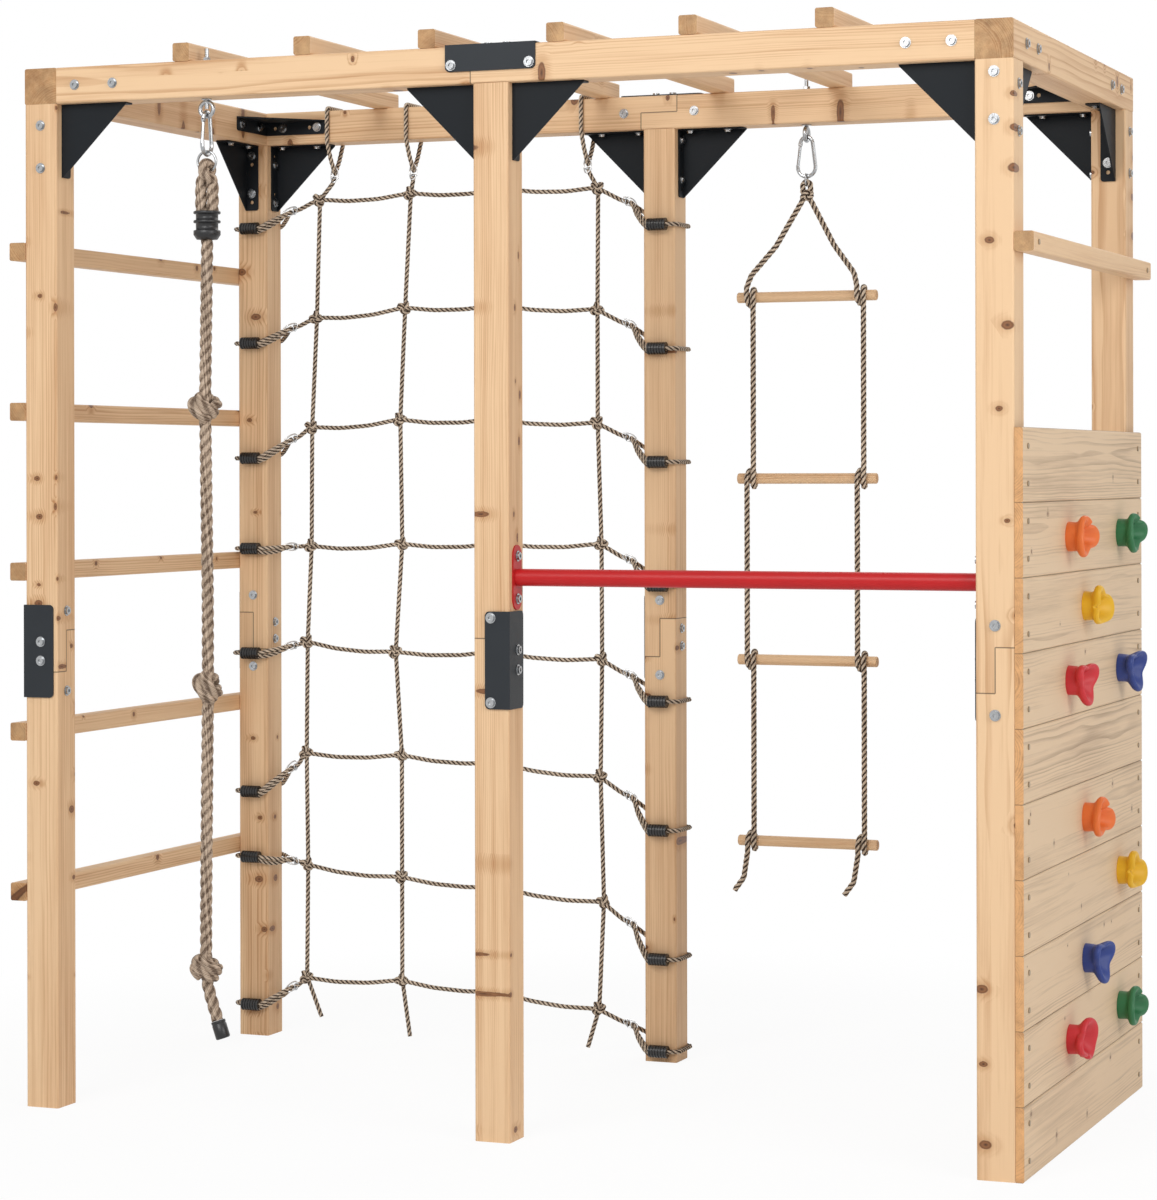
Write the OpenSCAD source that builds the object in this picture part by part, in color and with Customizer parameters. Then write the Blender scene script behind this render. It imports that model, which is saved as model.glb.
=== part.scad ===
// Wooden climbing frame with monkey bars, wall bars, a climbing wall, a turning bar,
// a knotted climbing rope, a rope ladder and a climbing net.
// Site axes while modelling: X along the front, Y to the back, Z up, with the outer corner
// of the front left foot at zero. on_site() then moves the origin to the middle of the footprint.

/* [Timber frame] */
// Side of the square post and beam timber
timber = 70; // [64:1:80]
// Length of the timber frame along the front
frame_l = 1970; // [1900:5:2200]
// Depth of the timber frame
frame_w = 970; // [900:5:1100]
// Height from the floor to the top of the beams
frame_h = 2020; // [1980:5:2200]
// Radius on the long edges of posts and beams
edge_r = 4; // [1:0.5:8]
// Height of the middle of the joints in the posts
lap_z = 887; // [860:1:900]
// Length of each half lap
lap_l = 80; // [60:1:90]

/* [Bars] */
// Side of the square rungs and bars
bar = 35; // [28:1:40]
// Distance between the monkey rungs
rung_pitch = 257; // [245:1:260]
// Length of a monkey rung
rung_l = 960; // [930:1:970]
// Height of the middle of the lowest wall bar
wall_bar_z = 417; // [300:1:450]
// Distance between the wall bars
wall_bar_pitch = 312; // [280:1:320]
// Height of the middle of the high bar above the climbing wall
high_bar_z = 1632; // [1500:1:1750]

/* [Climbing wall] */
// Height of one plank
plank_h = 131; // [110:1:140]
// Thickness of a plank
plank_t = 15; // [12:0.5:22]
// Chamfer on the plank's long edges
plank_chamfer = 2.5; // [1:0.5:4]
// Diameter of a hold's round foot
hold_foot_d = 54; // [40:1:60]
// Distance that a hold stands out from the planks
hold_out = 44; // [36:1:50]
// Mean radius of a hold's rim
hold_rim_r = 36; // [32:1:42]

/* [Steel brackets] */
// Thickness of the sheet steel
sheet_t = 3; // [2:0.5:5]
// Length of a corner bracket's legs
bracket_leg = 142; // [136:1:160]
// Width of a corner bracket's flanges
bracket_flange = 30; // [26:1:40]
// Distance from the corner to the first hole
hole_first = 22; // [20:1:26]
// Distance between the two holes of a pair
hole_pair = 19; // [17:1:21]
// Distance between the pairs of holes
hole_pitch = 83; // [75:1:90]
// Length of a joint plate
splice_l = 180; // [172:1:184]
// Outer width of a joint plate's wide flange
splice_wide = 65; // [58:1:68]
// Outer width of a joint plate's narrow flange
splice_narrow = 50; // [46:1:56]
// Distance from the middle of a joint to the end bolts
splice_end_bolt = 78; // [72:1:80]
// Distance from the middle of a joint to the middle bolts
splice_mid_bolt = 18.5; // [15:0.5:24]

/* [Turning bar] */
// Diameter of the turning bar
turn_d = 32; // [28:1:36]
// Height of the middle of the turning bar
turn_z = 1039; // [1039:1:1200]
// Height of the flange plates at its ends
turn_plate_h = 120; // [100:1:120]
// Width of the flange plates
turn_plate_w = 40; // [36:1:50]
// Distance between the two screws of a flange plate
turn_screw_pitch = 79; // [66:1:84]

/* [Fasteners] */
// Diameter of the frame bolts
bolt_d = 8; // [6:1:10]
// Radial clearance of a bolt in its hole
bolt_clear = 0.3; // [0.2:0.05:0.5]
// Diameter of a bolt head or nut
head_d = 15; // [13:0.5:17]
// Height of a bolt head or nut
head_h = 4; // [3:0.5:6]
// Diameter of a washer
washer_d = 20; // [18:0.5:22]
// Thickness of a washer
washer_t = 1.5; // [1:0.1:2.5]
// Depth that a screw goes into the timber that it holds
screw_grip = 45; // [30:1:50]
// Diameter of the wood screws
screw_d = 5; // [4:0.5:6]
// Diameter of a wood screw's head
screw_head_d = 10; // [8:0.5:12]
// Height of a wood screw's head
screw_head_h = 2; // [1.5:0.5:3]

/* [Climbing rope] */
// Distance of the climbing rope's eye bolt from the left end
rope_x = 380; // [374:1:520]
// Diameter of the climbing rope
rope_d = 24; // [20:1:26]
// Diameter of the ferrule's flanges
ferrule_d = 52; // [48:1:60]
// Height of the ferrule
ferrule_h = 54; // [50:1:70]
// Diameter of a knot in the climbing rope
knot_d = 66; // [60:1:72]
// Height of a knot in the climbing rope
knot_h = 60; // [54:1:66]
// Diameter of the end cap
cap_d = 28; // [26:1:34]
// Length of the end cap
cap_l = 36; // [26:1:50]

/* [Rope ladder] */
// Distance of the ladder's eye bolt from the left end
ladder_x = 1297; // [1250:1:1420]
// Diameter of the ladder's ropes
ladder_rope_d = 12; // [10:0.5:13]
// Diameter of a ladder rung
ladder_rung_d = 22; // [20:1:26]
// Length of a ladder rung
ladder_rung_l = 300; // [280:5:320]
// Distance between the ladder's two ropes
ladder_rope_gap = 238; // [220:1:244]
// Depth of the first rung below the beams
ladder_first = 355; // [320:1:380]
// Distance between the ladder's rungs
ladder_pitch = 376; // [330:1:380]

/* [Links] */
// Diameter of the eye bolts' and carabiners' wire
wire_d = 8; // [7:0.5:9]
// Inner diameter of an eye
eye_in = 20; // [19:0.5:24]
// Overall length of a carabiner
carabiner_l = 90; // [86:1:100]
// Overall width of a carabiner's wide end
carabiner_wide = 46; // [44:1:50]
// Overall width of a carabiner's narrow end
carabiner_narrow = 34; // [32:1:38]
// Running gap between two links that hang in each other
link_gap = 0.3; // [0.2:0.05:0.5]

/* [Climbing net] */
// Diameter of the net's ropes
net_rope_d = 10; // [8:0.5:11]
// Diameter of a knot in the net
net_knot_d = 28; // [22:1:30]
// Diameter of the sleeves on the net's straps
sleeve_d = 26; // [22:1:28]
// Length of the sleeves
sleeve_l = 40; // [34:1:44]

/* [Hidden] */

$fn = 48;
X = [1, 0, 0];
Y = [0, 1, 0];
Z = [0, 0, 1];

// The footprint's middle: wall bars and their screw heads stand out on the left, planks
// and holds on the right, bolt heads at the front and a strap of the net at the back.
left_out = bar + screw_head_h;
right_out = plank_t + hold_out;
front_out = sheet_t + washer_t + head_h;
back_out = sheet_t + link_gap + net_rope_d;
origin_x = (frame_l + right_out - left_out) / 2;
origin_y = (frame_w + back_out - front_out) / 2;

mid_x = frame_l / 2;
post_x = [0, mid_x - timber / 2, frame_l - timber];
back_y = frame_w - timber;
under_z = frame_h - timber;
half = timber / 2;
web_in = (timber - bracket_flange) / 2;
rail_y = [half, frame_w - half];

RUNG_X = [for (i = [0:5]) mid_x + (i - 2.5) * rung_pitch];
WALL_BAR_Z = [for (i = [0:4]) wall_bar_z + i * wall_bar_pitch];
PLANKS = 10;
wall_h = PLANKS * plank_h;
// Columns of the holds, as distances from the front of the planks
hold_y = [340, 470, 762];
wood_screw_clear = 0.2;
blind_end = 8;

// ---- Corner brackets -------------------------------------------------------------
// Each bracket is [corner, along the first timber, along the second timber, from the web
// inwards, first hole of the bolts in each leg, kind of the first leg, kind of the second].
PAIR_A = hole_first;
PAIR_B = hole_first + hole_pair;
THROUGH = 0;  // bolts through the timber
SCREWED = 1;  // coach screws up into a beam
SHARED = 2;   // bolts that also hold the bracket on the far side of the post
BARE = 3;     // held by the shared bolts of the other bracket

LONG_BRACKETS = [
  for (row = [[web_in, Y], [frame_w - web_in, -Y]])
    for (spot = [[post_x[0] + timber, X, row[1] == Y ? PAIR_A : PAIR_B, THROUGH],
                 [post_x[1], -X, PAIR_A, BARE],
                 [post_x[1] + timber, X, PAIR_A, SHARED],
                 [post_x[2], -X, PAIR_B, THROUGH]])
      [[spot[0], row[0], under_z], spot[1], -Z, row[1], PAIR_A, spot[2], SCREWED, spot[3]]
];
SIDE_BRACKETS = [
  for (side = [[web_in, X, 0], [frame_l - web_in, -X, 1]])
    for (spot = [[timber, Y, 0], [back_y, -Y, 1]])
      [[side[0], spot[0], under_z], spot[1], -Z, side[1],
       side[2] == 1 && spot[2] == 0 ? PAIR_B : PAIR_A,
       side[2] == 0 && spot[2] == 0 ? PAIR_B : PAIR_A, SCREWED, THROUGH]
];
TOP_BRACKETS = [
  for (side = [[timber, X, 0], [post_x[2], -X, 1]])
    for (spot = [[timber, Y, 0], [back_y, -Y, 1]])
      [[side[0], spot[0], frame_h - web_in], side[1], spot[1], -Z,
       PAIR_B, side[2] == 1 && spot[2] == 0 ? PAIR_A : PAIR_B, THROUGH, THROUGH]
];
BRACKETS = concat(LONG_BRACKETS, SIDE_BRACKETS, TOP_BRACKETS);

// Fasteners of one leg: the leg runs along a, its flange faces b, the web is off along w.
function leg_fasteners(c, a, b, w, first, kind) = [
  for (s = [first, first + hole_pitch])
    let (on_flange = c + s * a + (bracket_flange / 2) * w)
      if (kind == THROUGH) [on_flange - timber * b, b, timber + sheet_t, kind]
      else if (kind == SCREWED) [on_flange + sheet_t * b, -b, sheet_t + screw_grip, kind]
      else if (kind == SHARED)
        [on_flange - (timber + sheet_t) * b, b, timber + 2 * sheet_t, kind]
];
BRACKET_FASTENERS = [
  for (k = BRACKETS)
    each concat(leg_fasteners(k[0], k[1], k[2], k[3], k[4], k[6]),
                leg_fasteners(k[0], k[2], k[1], k[3], k[5], k[7]))
];

// ---- Joint plates ----------------------------------------------------------------
// Each plate is [corner, along the wide flange, into the timber, along the timber,
// true where its middle bolts end in the timber].
POST_PLATES = [
  [[0, 0, lap_z], X, Y, Z, false],
  [[post_x[1] + timber, 0, lap_z], Y, -X, Z, false],
  [[post_x[2], timber, lap_z], -Y, X, Z, true],
  [[0, frame_w, lap_z], -Y, X, Z, false],
  [[post_x[1], frame_w, lap_z], -Y, X, Z, false],
  [[post_x[2], frame_w, lap_z], -Y, X, Z, true]
];
BEAM_PLATES = [
  [[mid_x, 0, frame_h], Y, -Z, X, true],
  [[mid_x, frame_w, frame_h], -Y, -Z, X, true]
];
// The wall bars leave no room outside the narrow flange of a plate for a nut there.
function plate_fasteners(p) = [
  for (s = [-1, 1]) each [
    [p[0] + half * p[1] - sheet_t * p[2] + s * splice_mid_bolt * p[3], p[2],
     p[4] ? sheet_t + timber - blind_end : sheet_t + timber, p[4] ? SCREWED : THROUGH],
    [p[0] + half * p[2] - sheet_t * p[1] + s * splice_end_bolt * p[3], p[1],
     sheet_t + timber, THROUGH]
  ]
];

// ---- Turning bar screws ----------------------------------------------------------
TURN_SCREWS = [
  for (end = [[post_x[1] + timber + sheet_t, -X], [post_x[2] - sheet_t, X]], s = [-1, 1])
    [[end[0], half, turn_z + s * turn_screw_pitch / 2], end[1], sheet_t + screw_grip, SCREWED]
];

// ---- Holds -----------------------------------------------------------------------
// Each hold is [column, plank counted from the floor, form, colour, turn].
LOBED = 0;
PRONGED = 1;
HOLDS = [
  [0, 8, LOBED, "orange", 0], [1, 4, LOBED, "orange", -12],
  [2, 8, LOBED, "green", 8], [2, 1, LOBED, "green", -4],
  [1, 7, LOBED, "yellow", 130], [2, 3, LOBED, "yellow", 126],
  [0, 6, PRONGED, "red", 0], [0, 1, LOBED, "red", 200],
  [2, 6, PRONGED, "blue", 6], [1, 2, PRONGED, "blue", 0]
];
HOLD_SIDES = 24;
// Share of a hold's depth at which the seat of its bolt lies
SEAT = 0.32;

function hold_place(h) =
  [frame_l + plank_t, hold_y[h[0]], (h[1] + 0.5) * plank_h];
HOLD_BOLTS = [
  for (h = HOLDS)
    [hold_place(h) + SEAT * hold_out * X, -X, SEAT * hold_out + plank_t, THROUGH]
];

// Every bolt and coach screw: [place of the head's seat, direction, length, kind]
FASTENERS = concat(BRACKET_FASTENERS,
                   [for (p = concat(POST_PLATES, BEAM_PLATES)) each plate_fasteners(p)],
                   TURN_SCREWS, HOLD_BOLTS);
BOLTS = [for (f = FASTENERS) if (f[3] != SCREWED) f];
COACH_SCREWS = [for (f = FASTENERS) if (f[3] == SCREWED) f];

// ---- Wood screws: [place of the head's seat, direction, length] --------------------
RUNG_SCREWS = [for (x = RUNG_X, y = rail_y) [[x, y, frame_h + bar], -Z, bar + screw_grip]];
WALL_BAR_SCREWS = [for (z = WALL_BAR_Z, y = rail_y) [[-bar, y, z], X, bar + screw_grip]];
HIGH_BAR_SCREWS = [for (y = rail_y) [[frame_l + bar, y, high_bar_z], -X, bar + screw_grip]];
PLANK_SCREWS = [
  for (i = [0:PLANKS - 1], y = rail_y, s = [-1, 1])
    [[frame_l + plank_t, y, (i + 0.5 + s * 0.25) * plank_h], -X, plank_t + screw_grip / 2]
];
WOOD_SCREWS = concat(RUNG_SCREWS, WALL_BAR_SCREWS, HIGH_BAR_SCREWS, PLANK_SCREWS);

// ---- Links -----------------------------------------------------------------------
wire_r = wire_d / 2;
eye_r = (eye_in + wire_d) / 2;
eye_drop = wire_d + eye_in / 2 + 2;
// Middle of the eye's lowest wire, where the carabiner hangs
eye_low_z = under_z - eye_drop - eye_r;
carabiner_top_z = eye_low_z + wire_d + link_gap;
carabiner_low_z = carabiner_top_z - (carabiner_l - wire_d);
narrow_r = (carabiner_narrow - wire_d) / 2;
wide_r = (carabiner_wide - wire_d) / 2;
bow_gap = carabiner_l - wire_d - narrow_r - wide_r;
side_slant = asin((wide_r - narrow_r) / bow_gap);
side_l = bow_gap * cos(side_slant);
knuckle_r = wire_r;
hinge_s = 5;
gate_r = 3.25;
gate_pin_d = 2.5;
gate_bore_clear = 0.05;
gate_tab_t = 3;
gate_slot_clear = 0.3;
gate_gap = 0.4;
nose_l = 3.2;
slot_top = 3.8;
WIRE_SIDES = 12;

rope_ring_wire_d = 5;
rope_ring_out = 44;
rope_ring_r = (rope_ring_out - rope_ring_wire_d) / 2;
rope_ring_z = carabiner_low_z + wire_r + link_gap + rope_ring_wire_d / 2 - rope_ring_r;
ring_low_z = rope_ring_z - rope_ring_r;

link_wire_d = 4;
link_bow_r = 8.5;
link_straight = 8;
link_top_z = carabiner_low_z + wire_r + link_gap + link_wire_d / 2;

// ---- Climbing rope ---------------------------------------------------------------
splice_turn_r = (rope_d + rope_ring_wire_d) / 2 + link_gap;
splice_leg_r = rope_d / 2 + 0.3;
splice_h = 76;
ferrule_top_z = ring_low_z - splice_h;
ferrule_low_z = ferrule_top_z - ferrule_h;
ROPE_SIDES = 8;
// Route of the hanging rope below its ferrule: [sideways, forward, depth]
ROPE_ROUTE = [
  [0, 0, 0], [0, 0, -30], [-1, 0, -80], [-3, 0, -200], [-5, 0, -320], [-4, 0, -380],
  [-3, 0, -450], [-1, 0, -610], [0, 0, -690], [0, 0, -857], [-1, 0, -940], [-3, 0, -1110],
  [-5, 0, -1300], [-5, 0, -1396], [-4, 0, -1415], [0, 0, -1435], [6, 0, -1455],
  [13, 0, -1475], [20, 0, -1495]
];
// Depths of the knots below the ferrule
KNOT_DEPTHS = [320, 857, 1396];

// ---- Rope ladder -----------------------------------------------------------------
LADDER_SIDES = 8;
ladder_rope_r = ladder_rope_d / 2;
ladder_y = frame_w - half;
LADDER_RUNGS = 4;
HITCH_STEPS = 8;
hitch_r = (ladder_rung_d / 2 + link_gap + ladder_rope_r) / cos(180 / HITCH_STEPS);
hitch_shift = ladder_rope_d + 2;
ladder_knot_r = 14;
link_low_z = link_top_z - link_straight - 2 * link_bow_r;
ladder_turn_r = ladder_rope_r + link_wire_d / 2 + link_gap;
ladder_knot_z = link_low_z - 6 - ladder_knot_r;
LADDER_TAIL = 105;

// ---- Climbing net ----------------------------------------------------------------
NET_SIDES = 6;
net_r = net_rope_d / 2;
net_y = frame_w - half;
// The knots and straps below are measured on a frame with posts 950 mm apart and 1950 mm
// under its beams, and they follow the frame's own sizes.
net_wide = post_x[1] / 950;
net_tall = under_z / 1950;
// Knots of each upright rope from the top down: [distance from the left end, height]
MEASURED_KNOTS = [
  [[180, 1830], [172, 1572], [160, 1333], [158, 1073], [148, 864], [145, 620], [148, 376],
   [145, 128]],
  [[398, 1837], [384, 1590], [372, 1348], [376, 1079], [360, 845], [374, 622], [374, 358],
   [374, 134]],
  [[616, 1840], [606, 1592], [598, 1348], [606, 1082], [600, 850], [606, 612], [608, 346],
   [604, 122]],
  [[833, 1835], [831, 1578], [831, 1338], [839, 1082], [840, 838], [836, 590], [843, 325],
   [832, 98]]
];
NET_KNOTS = [for (c = MEASURED_KNOTS) [for (k = c) [k[0] * net_wide, k[1] * net_tall]]];
// Lower ends of the upright ropes
NET_TAILS = [for (t = [[180, 42], [392, 12], [598, 30], [806, 14]])
  [t[0] * net_wide, t[1] * net_tall]];
// Distance of each beam loop from the left end
NET_LOOP_X = [for (x = [219, 407, 625, 812]) x * net_wide];
net_join_z = under_z - 58;
// Height of each strap's sleeve on the left and right posts
MEASURED_STRAPS = [
  [1768, 1517, 1265, 1067, 838, 535, 392, 69],
  [1750, 1491, 1254, 996, 754, 485, 216, 24]
];
STRAP_Z = [for (post = MEASURED_STRAPS) [for (z = post) z * net_tall]];
strap_reach = 34;
// From the point where a strap or a beam loop closes to the end of the rope that it holds
strap_tip = 0.9 * net_rope_d;
rope_start = net_r * cos(180 / NET_SIDES) + link_gap;
// Straight stretch at a rope's end, which its wire ring is round
ring_stretch = 8;
SAG = 9;

// ================================ helpers ==========================================
module on_site() {
  translate([-origin_x, -origin_y, 0]) children();
}

// Puts a shape's own x, y and z along the directions a, b and c at the place p
module set_at(p, a, b, c) {
  multmatrix([[a[0], b[0], c[0], p[0]],
              [a[1], b[1], c[1], p[1]],
              [a[2], b[2], c[2], p[2]],
              [0, 0, 0, 1]])
    children();
}

function side_of(d) = abs(d[2]) > 0.5 ? X : Z;

// A shape drawn along +Z from its own origin is turned to run along d from p
module along(p, d) {
  a = side_of(d);
  set_at(p, a, cross(d, a), d) children();
}

function unit(v) = v / norm(v);

function tangent(path, i, closed) =
  let (n = len(path))
  closed ? unit(path[(i + 1) % n] - path[(i + n - 1) % n])
         : unit(path[min(i + 1, n - 1)] - path[max(i - 1, 0)]);

function ring(c, t, across, r, sides) =
  let (n = unit(across - (across * t) * t), b = cross(t, n))
  [for (k = [0:sides - 1]) c + r * (cos(360 * k / sides) * n + sin(360 * k / sides) * b)];

// A round tube along the points of path. across is a direction that the path never takes.
module tube(path, r, sides, across, closed = false) {
  n = len(path);
  points = [for (i = [0:n - 1]) each ring(path[i], tangent(path, i, closed), across, r, sides)];
  last = closed ? n - 1 : n - 2;
  walls = [
    for (i = [0:last], k = [0:sides - 1])
      let (a = i * sides + k, b = i * sides + (k + 1) % sides,
           c = ((i + 1) % n) * sides + k, d = ((i + 1) % n) * sides + (k + 1) % sides)
        each [[a, c, b], [b, c, d]]
  ];
  ends = closed ? [] : [[for (k = [0:sides - 1]) k],
                        [for (k = [sides - 1:-1:0]) (n - 1) * sides + k]];
  polyhedron(points, concat(walls, ends));
}

module rounded_square(size, r) {
  translate([r, 0]) square([size - 2 * r, size]);
  translate([0, r]) square([size, size - 2 * r]);
  for (x = [r, size - r], y = [r, size - r]) translate([x, y]) circle(r, $fn = 32);
}

// A square timber from p along d, with its section in the positive quadrant of a and b
module stick(p, a, b, d, length, size) {
  set_at(p, a, b, d) linear_extrude(length) rounded_square(size, min(edge_r, size / 8));
}

// True where a fastener's line passes through the box from low to high
function within(f, low, high) =
  let (e = f[0] + f[2] * f[1])
  min([for (i = [0:2])
    max(f[0][i], e[i]) > low[i] + 0.01 && min(f[0][i], e[i]) < high[i] - 0.01 ? 1 : 0]) == 1;

module hole(f, r) {
  along(f[0] - f[1], f[1]) cylinder(h = f[2] + 2, r = r);
}

module blind_hole(f, r) {
  along(f[0] - f[1], f[1]) cylinder(h = f[2] + 1.5, r = r);
}

// Cuts the holes of every fastener that passes through the box from low to high
module drilled(low, high) {
  difference() {
    children();
    for (f = BOLTS) if (within(f, low, high)) hole(f, bolt_d / 2 + bolt_clear);
    for (f = COACH_SCREWS) if (within(f, low, high)) blind_hole(f, bolt_d / 2 + bolt_clear);
    for (f = WOOD_SCREWS)
      if (within(f, low, high)) blind_hole(f, screw_d / 2 + wood_screw_clear);
    for (x = [[rope_x, half], [ladder_x, ladder_y]])
      if (within([[x[0], x[1], under_z], Z, timber], low, high))
        translate([x[0], x[1], under_z - 1]) cylinder(h = timber + 2, r = wire_r + bolt_clear);
  }
}

// ================================ timbers ==========================================
module wood() { color("burlywood") children(); }
module red_wood() { color("tan") children(); }

// The lower half of a post keeps its tongue on the side that tongue points to
module post_half(x, y, tongue, upper) {
  low = [x, y, upper ? lap_z - lap_l / 2 : 0];
  high = [x + timber, y + timber, upper ? under_z : lap_z + lap_l / 2];
  side = upper ? -tongue : tongue;
  middle = [x + half, y + half, lap_z];
  wood() on_site() drilled(low, high) difference() {
    stick(low, X, Y, Z, high[2] - low[2], timber);
    translate(middle - side * timber)
      cube([2 * timber, 2 * timber, lap_l], center = true);
  }
}

// Half of a long beam. The left half has its tongue on top, the right half below.
module long_beam_half(y, right) {
  x0 = right ? mid_x - lap_l / 2 : timber;
  x1 = right ? post_x[2] : mid_x + lap_l / 2;
  wood() on_site() drilled([x0, y, under_z], [x1, y + timber, frame_h]) difference() {
    stick([x0, y, under_z], Y, Z, X, x1 - x0, timber);
    translate([mid_x, y + half, under_z + half + (right ? timber : -timber)])
      cube([lap_l, 2 * timber, 2 * timber], center = true);
  }
}

module side_beam(x) {
  low = [x, 0, under_z];
  wood() on_site() drilled(low, [x + timber, frame_w, frame_h])
    stick([x, 0, frame_h], X, -Z, Y, frame_w, timber);
}

module monkey_rung(i) {
  low = [RUNG_X[i] - bar / 2, 0, frame_h];
  red_wood() on_site() drilled(low, low + [bar, rung_l, bar])
    stick(low + [0, 0, bar], X, -Z, Y, rung_l, bar);
}

module wall_bars() {
  for (z = WALL_BAR_Z)
    red_wood() on_site()
      drilled([-bar, 0, z - bar / 2], [0, frame_w, z + bar / 2])
        stick([-bar, 0, z + bar / 2], X, -Z, Y, frame_w, bar);
}

module high_bar() {
  low = [frame_l, 0, high_bar_z - bar / 2];
  red_wood() on_site() drilled(low, low + [bar, frame_w, bar])
    stick(low + [0, 0, bar], X, -Z, Y, frame_w, bar);
}

module plank_section() {
  c = plank_chamfer;
  polygon([[0, 0], [plank_t - c, 0], [plank_t, c], [plank_t, plank_h - c],
           [plank_t - c, plank_h], [0, plank_h]]);
}

module wall_planks() {
  for (i = [0:PLANKS - 1])
    color("wheat") on_site()
      drilled([frame_l, 0, i * plank_h], [frame_l + plank_t, frame_w, (i + 1) * plank_h])
        translate([frame_l, frame_w, i * plank_h]) rotate([90, 0, 0])
          linear_extrude(frame_w) plank_section();
}

// ================================ holds ============================================
// Outline of a rim, as a factor on the radius: three or four soft lobes, or three prongs
function rim(form, a) =
  form == LOBED ? 1 + 0.13 * cos(3 * a + 30) + 0.08 * cos(2 * a - 50) + 0.05 * cos(4 * a + 20)
                : 1 + 0.2 * cos(3 * a - 90) + 0.06 * cos(a + 60);
// How far a rim leans out along its way round
function lean(form, a) =
  form == LOBED ? 0.5 + 0.5 * cos(2 * a - 40) : 0.5 + 0.5 * cos(3 * a - 90);

// Rings of a hold from its foot out over the rim and back down the bolt's bore:
// [radius, distance from the wall, share of the outline, share of the lean]
HOLD_RINGS = [
  [hold_foot_d / 2, 0, 0, 0],
  [hold_foot_d / 2 - 1, 0.34 * hold_out, 0.15, 0],
  [hold_foot_d / 2 + 1, 0.48 * hold_out, 0.6, 0],
  [hold_rim_r, 0.66 * hold_out, 1, 0.12 * hold_out],
  [hold_rim_r * 0.98, 0.84 * hold_out, 1, 0.12 * hold_out],
  [hold_rim_r * 0.78, 0.88 * hold_out, 1, 0.12 * hold_out],
  [hold_rim_r * 0.44, 0.62 * hold_out, 0.4, 0.04 * hold_out],
  [washer_d / 2 + 1, 0.52 * hold_out, 0, 0],
  [washer_d / 2 + 1, SEAT * hold_out, 0, 0],
  [bolt_d / 2 + bolt_clear, SEAT * hold_out, 0, 0],
  [bolt_d / 2 + bolt_clear, 0, 0, 0]
];

module hold(form) {
  rings = len(HOLD_RINGS);
  points = [
    for (q = HOLD_RINGS, k = [0:HOLD_SIDES - 1])
      let (a = 360 * k / HOLD_SIDES,
           r = q[0] * (1 + q[2] * (rim(form, a) - 1)),
           x = q[1] + q[3] * lean(form, a))
        [x, r * cos(a), r * sin(a)]
  ];
  faces = [
    for (i = [0:rings - 1], k = [0:HOLD_SIDES - 1])
      let (a = i * HOLD_SIDES + k, b = i * HOLD_SIDES + (k + 1) % HOLD_SIDES,
           c = ((i + 1) % rings) * HOLD_SIDES + k,
           d = ((i + 1) % rings) * HOLD_SIDES + (k + 1) % HOLD_SIDES)
        each [[a, c, b], [b, c, d]]
  ];
  polyhedron(points, faces);
}

module holds(paint) {
  for (h = HOLDS)
    if (h[3] == paint)
      color(paint) on_site() translate(hold_place(h)) rotate([h[4], 0, 0]) hold(h[2]);
}

// ================================ steel ============================================
module strip_end_round(length, width, r) {
  square([length - r, width]);
  square([length, width - r]);
  translate([length - r, width - r]) circle(r, $fn = 32);
}

function hole_steps() = [PAIR_A, PAIR_B, PAIR_A + hole_pitch, PAIR_B + hole_pitch];

// Drawn with its legs along x and y, its web at z = 0 and its flanges towards +z
module corner_bracket() {
  corner_r = 6;
  leg = bracket_leg;
  color([0.2, 0.21, 0.23]) difference() {
    union() {
      linear_extrude(sheet_t)
        polygon([[0, 0], [leg, 0], [leg, sheet_t], [sheet_t, leg], [0, leg]]);
      translate([0, sheet_t, 0]) rotate([90, 0, 0])
        linear_extrude(sheet_t) strip_end_round(leg, bracket_flange, corner_r);
      mirror([1, -1, 0]) translate([0, sheet_t, 0]) rotate([90, 0, 0])
        linear_extrude(sheet_t) strip_end_round(leg, bracket_flange, corner_r);
    }
    for (s = hole_steps()) {
      translate([s, -1, bracket_flange / 2]) rotate([-90, 0, 0])
        cylinder(h = sheet_t + 2, d = bolt_d + 2 * bolt_clear);
      translate([-1, s, bracket_flange / 2]) rotate([0, 90, 0])
        cylinder(h = sheet_t + 2, d = bolt_d + 2 * bolt_clear);
    }
  }
}

module brackets(list) {
  for (k = list) on_site() set_at(k[0], k[1], k[2], k[3]) corner_bracket();
}

// Drawn for a timber in the quadrant x > 0, y > 0: the wide flange lies on its face y = 0,
// the narrow one on x = 0, and the plate's middle is at z = 0
module joint_plate() {
  corner_r = 9;
  t = sheet_t;
  color([0.2, 0.21, 0.23]) difference() {
    union() {
      translate([0, 0, -splice_l / 2]) linear_extrude(splice_l) {
        translate([-t, -t]) square([splice_wide - corner_r, t]);
        translate([-t, -t]) square([t, splice_narrow - corner_r]);
      }
      translate([0, -t / 2, 0]) rotate([90, 0, 0]) linear_extrude(t, center = true)
        plate_edge(splice_wide - t, corner_r);
      translate([-t / 2, 0, 0]) rotate([90, 0, 90]) linear_extrude(t, center = true)
        plate_edge(splice_narrow - t, corner_r);
    }
    for (s = [-1, 1]) {
      translate([half, 1, s * splice_mid_bolt]) rotate([90, 0, 0])
        cylinder(h = t + 2, d = bolt_d + 2 * bolt_clear);
      translate([-t - 1, half, s * splice_end_bolt]) rotate([0, 90, 0])
        cylinder(h = t + 2, d = bolt_d + 2 * bolt_clear);
    }
  }
}

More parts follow.
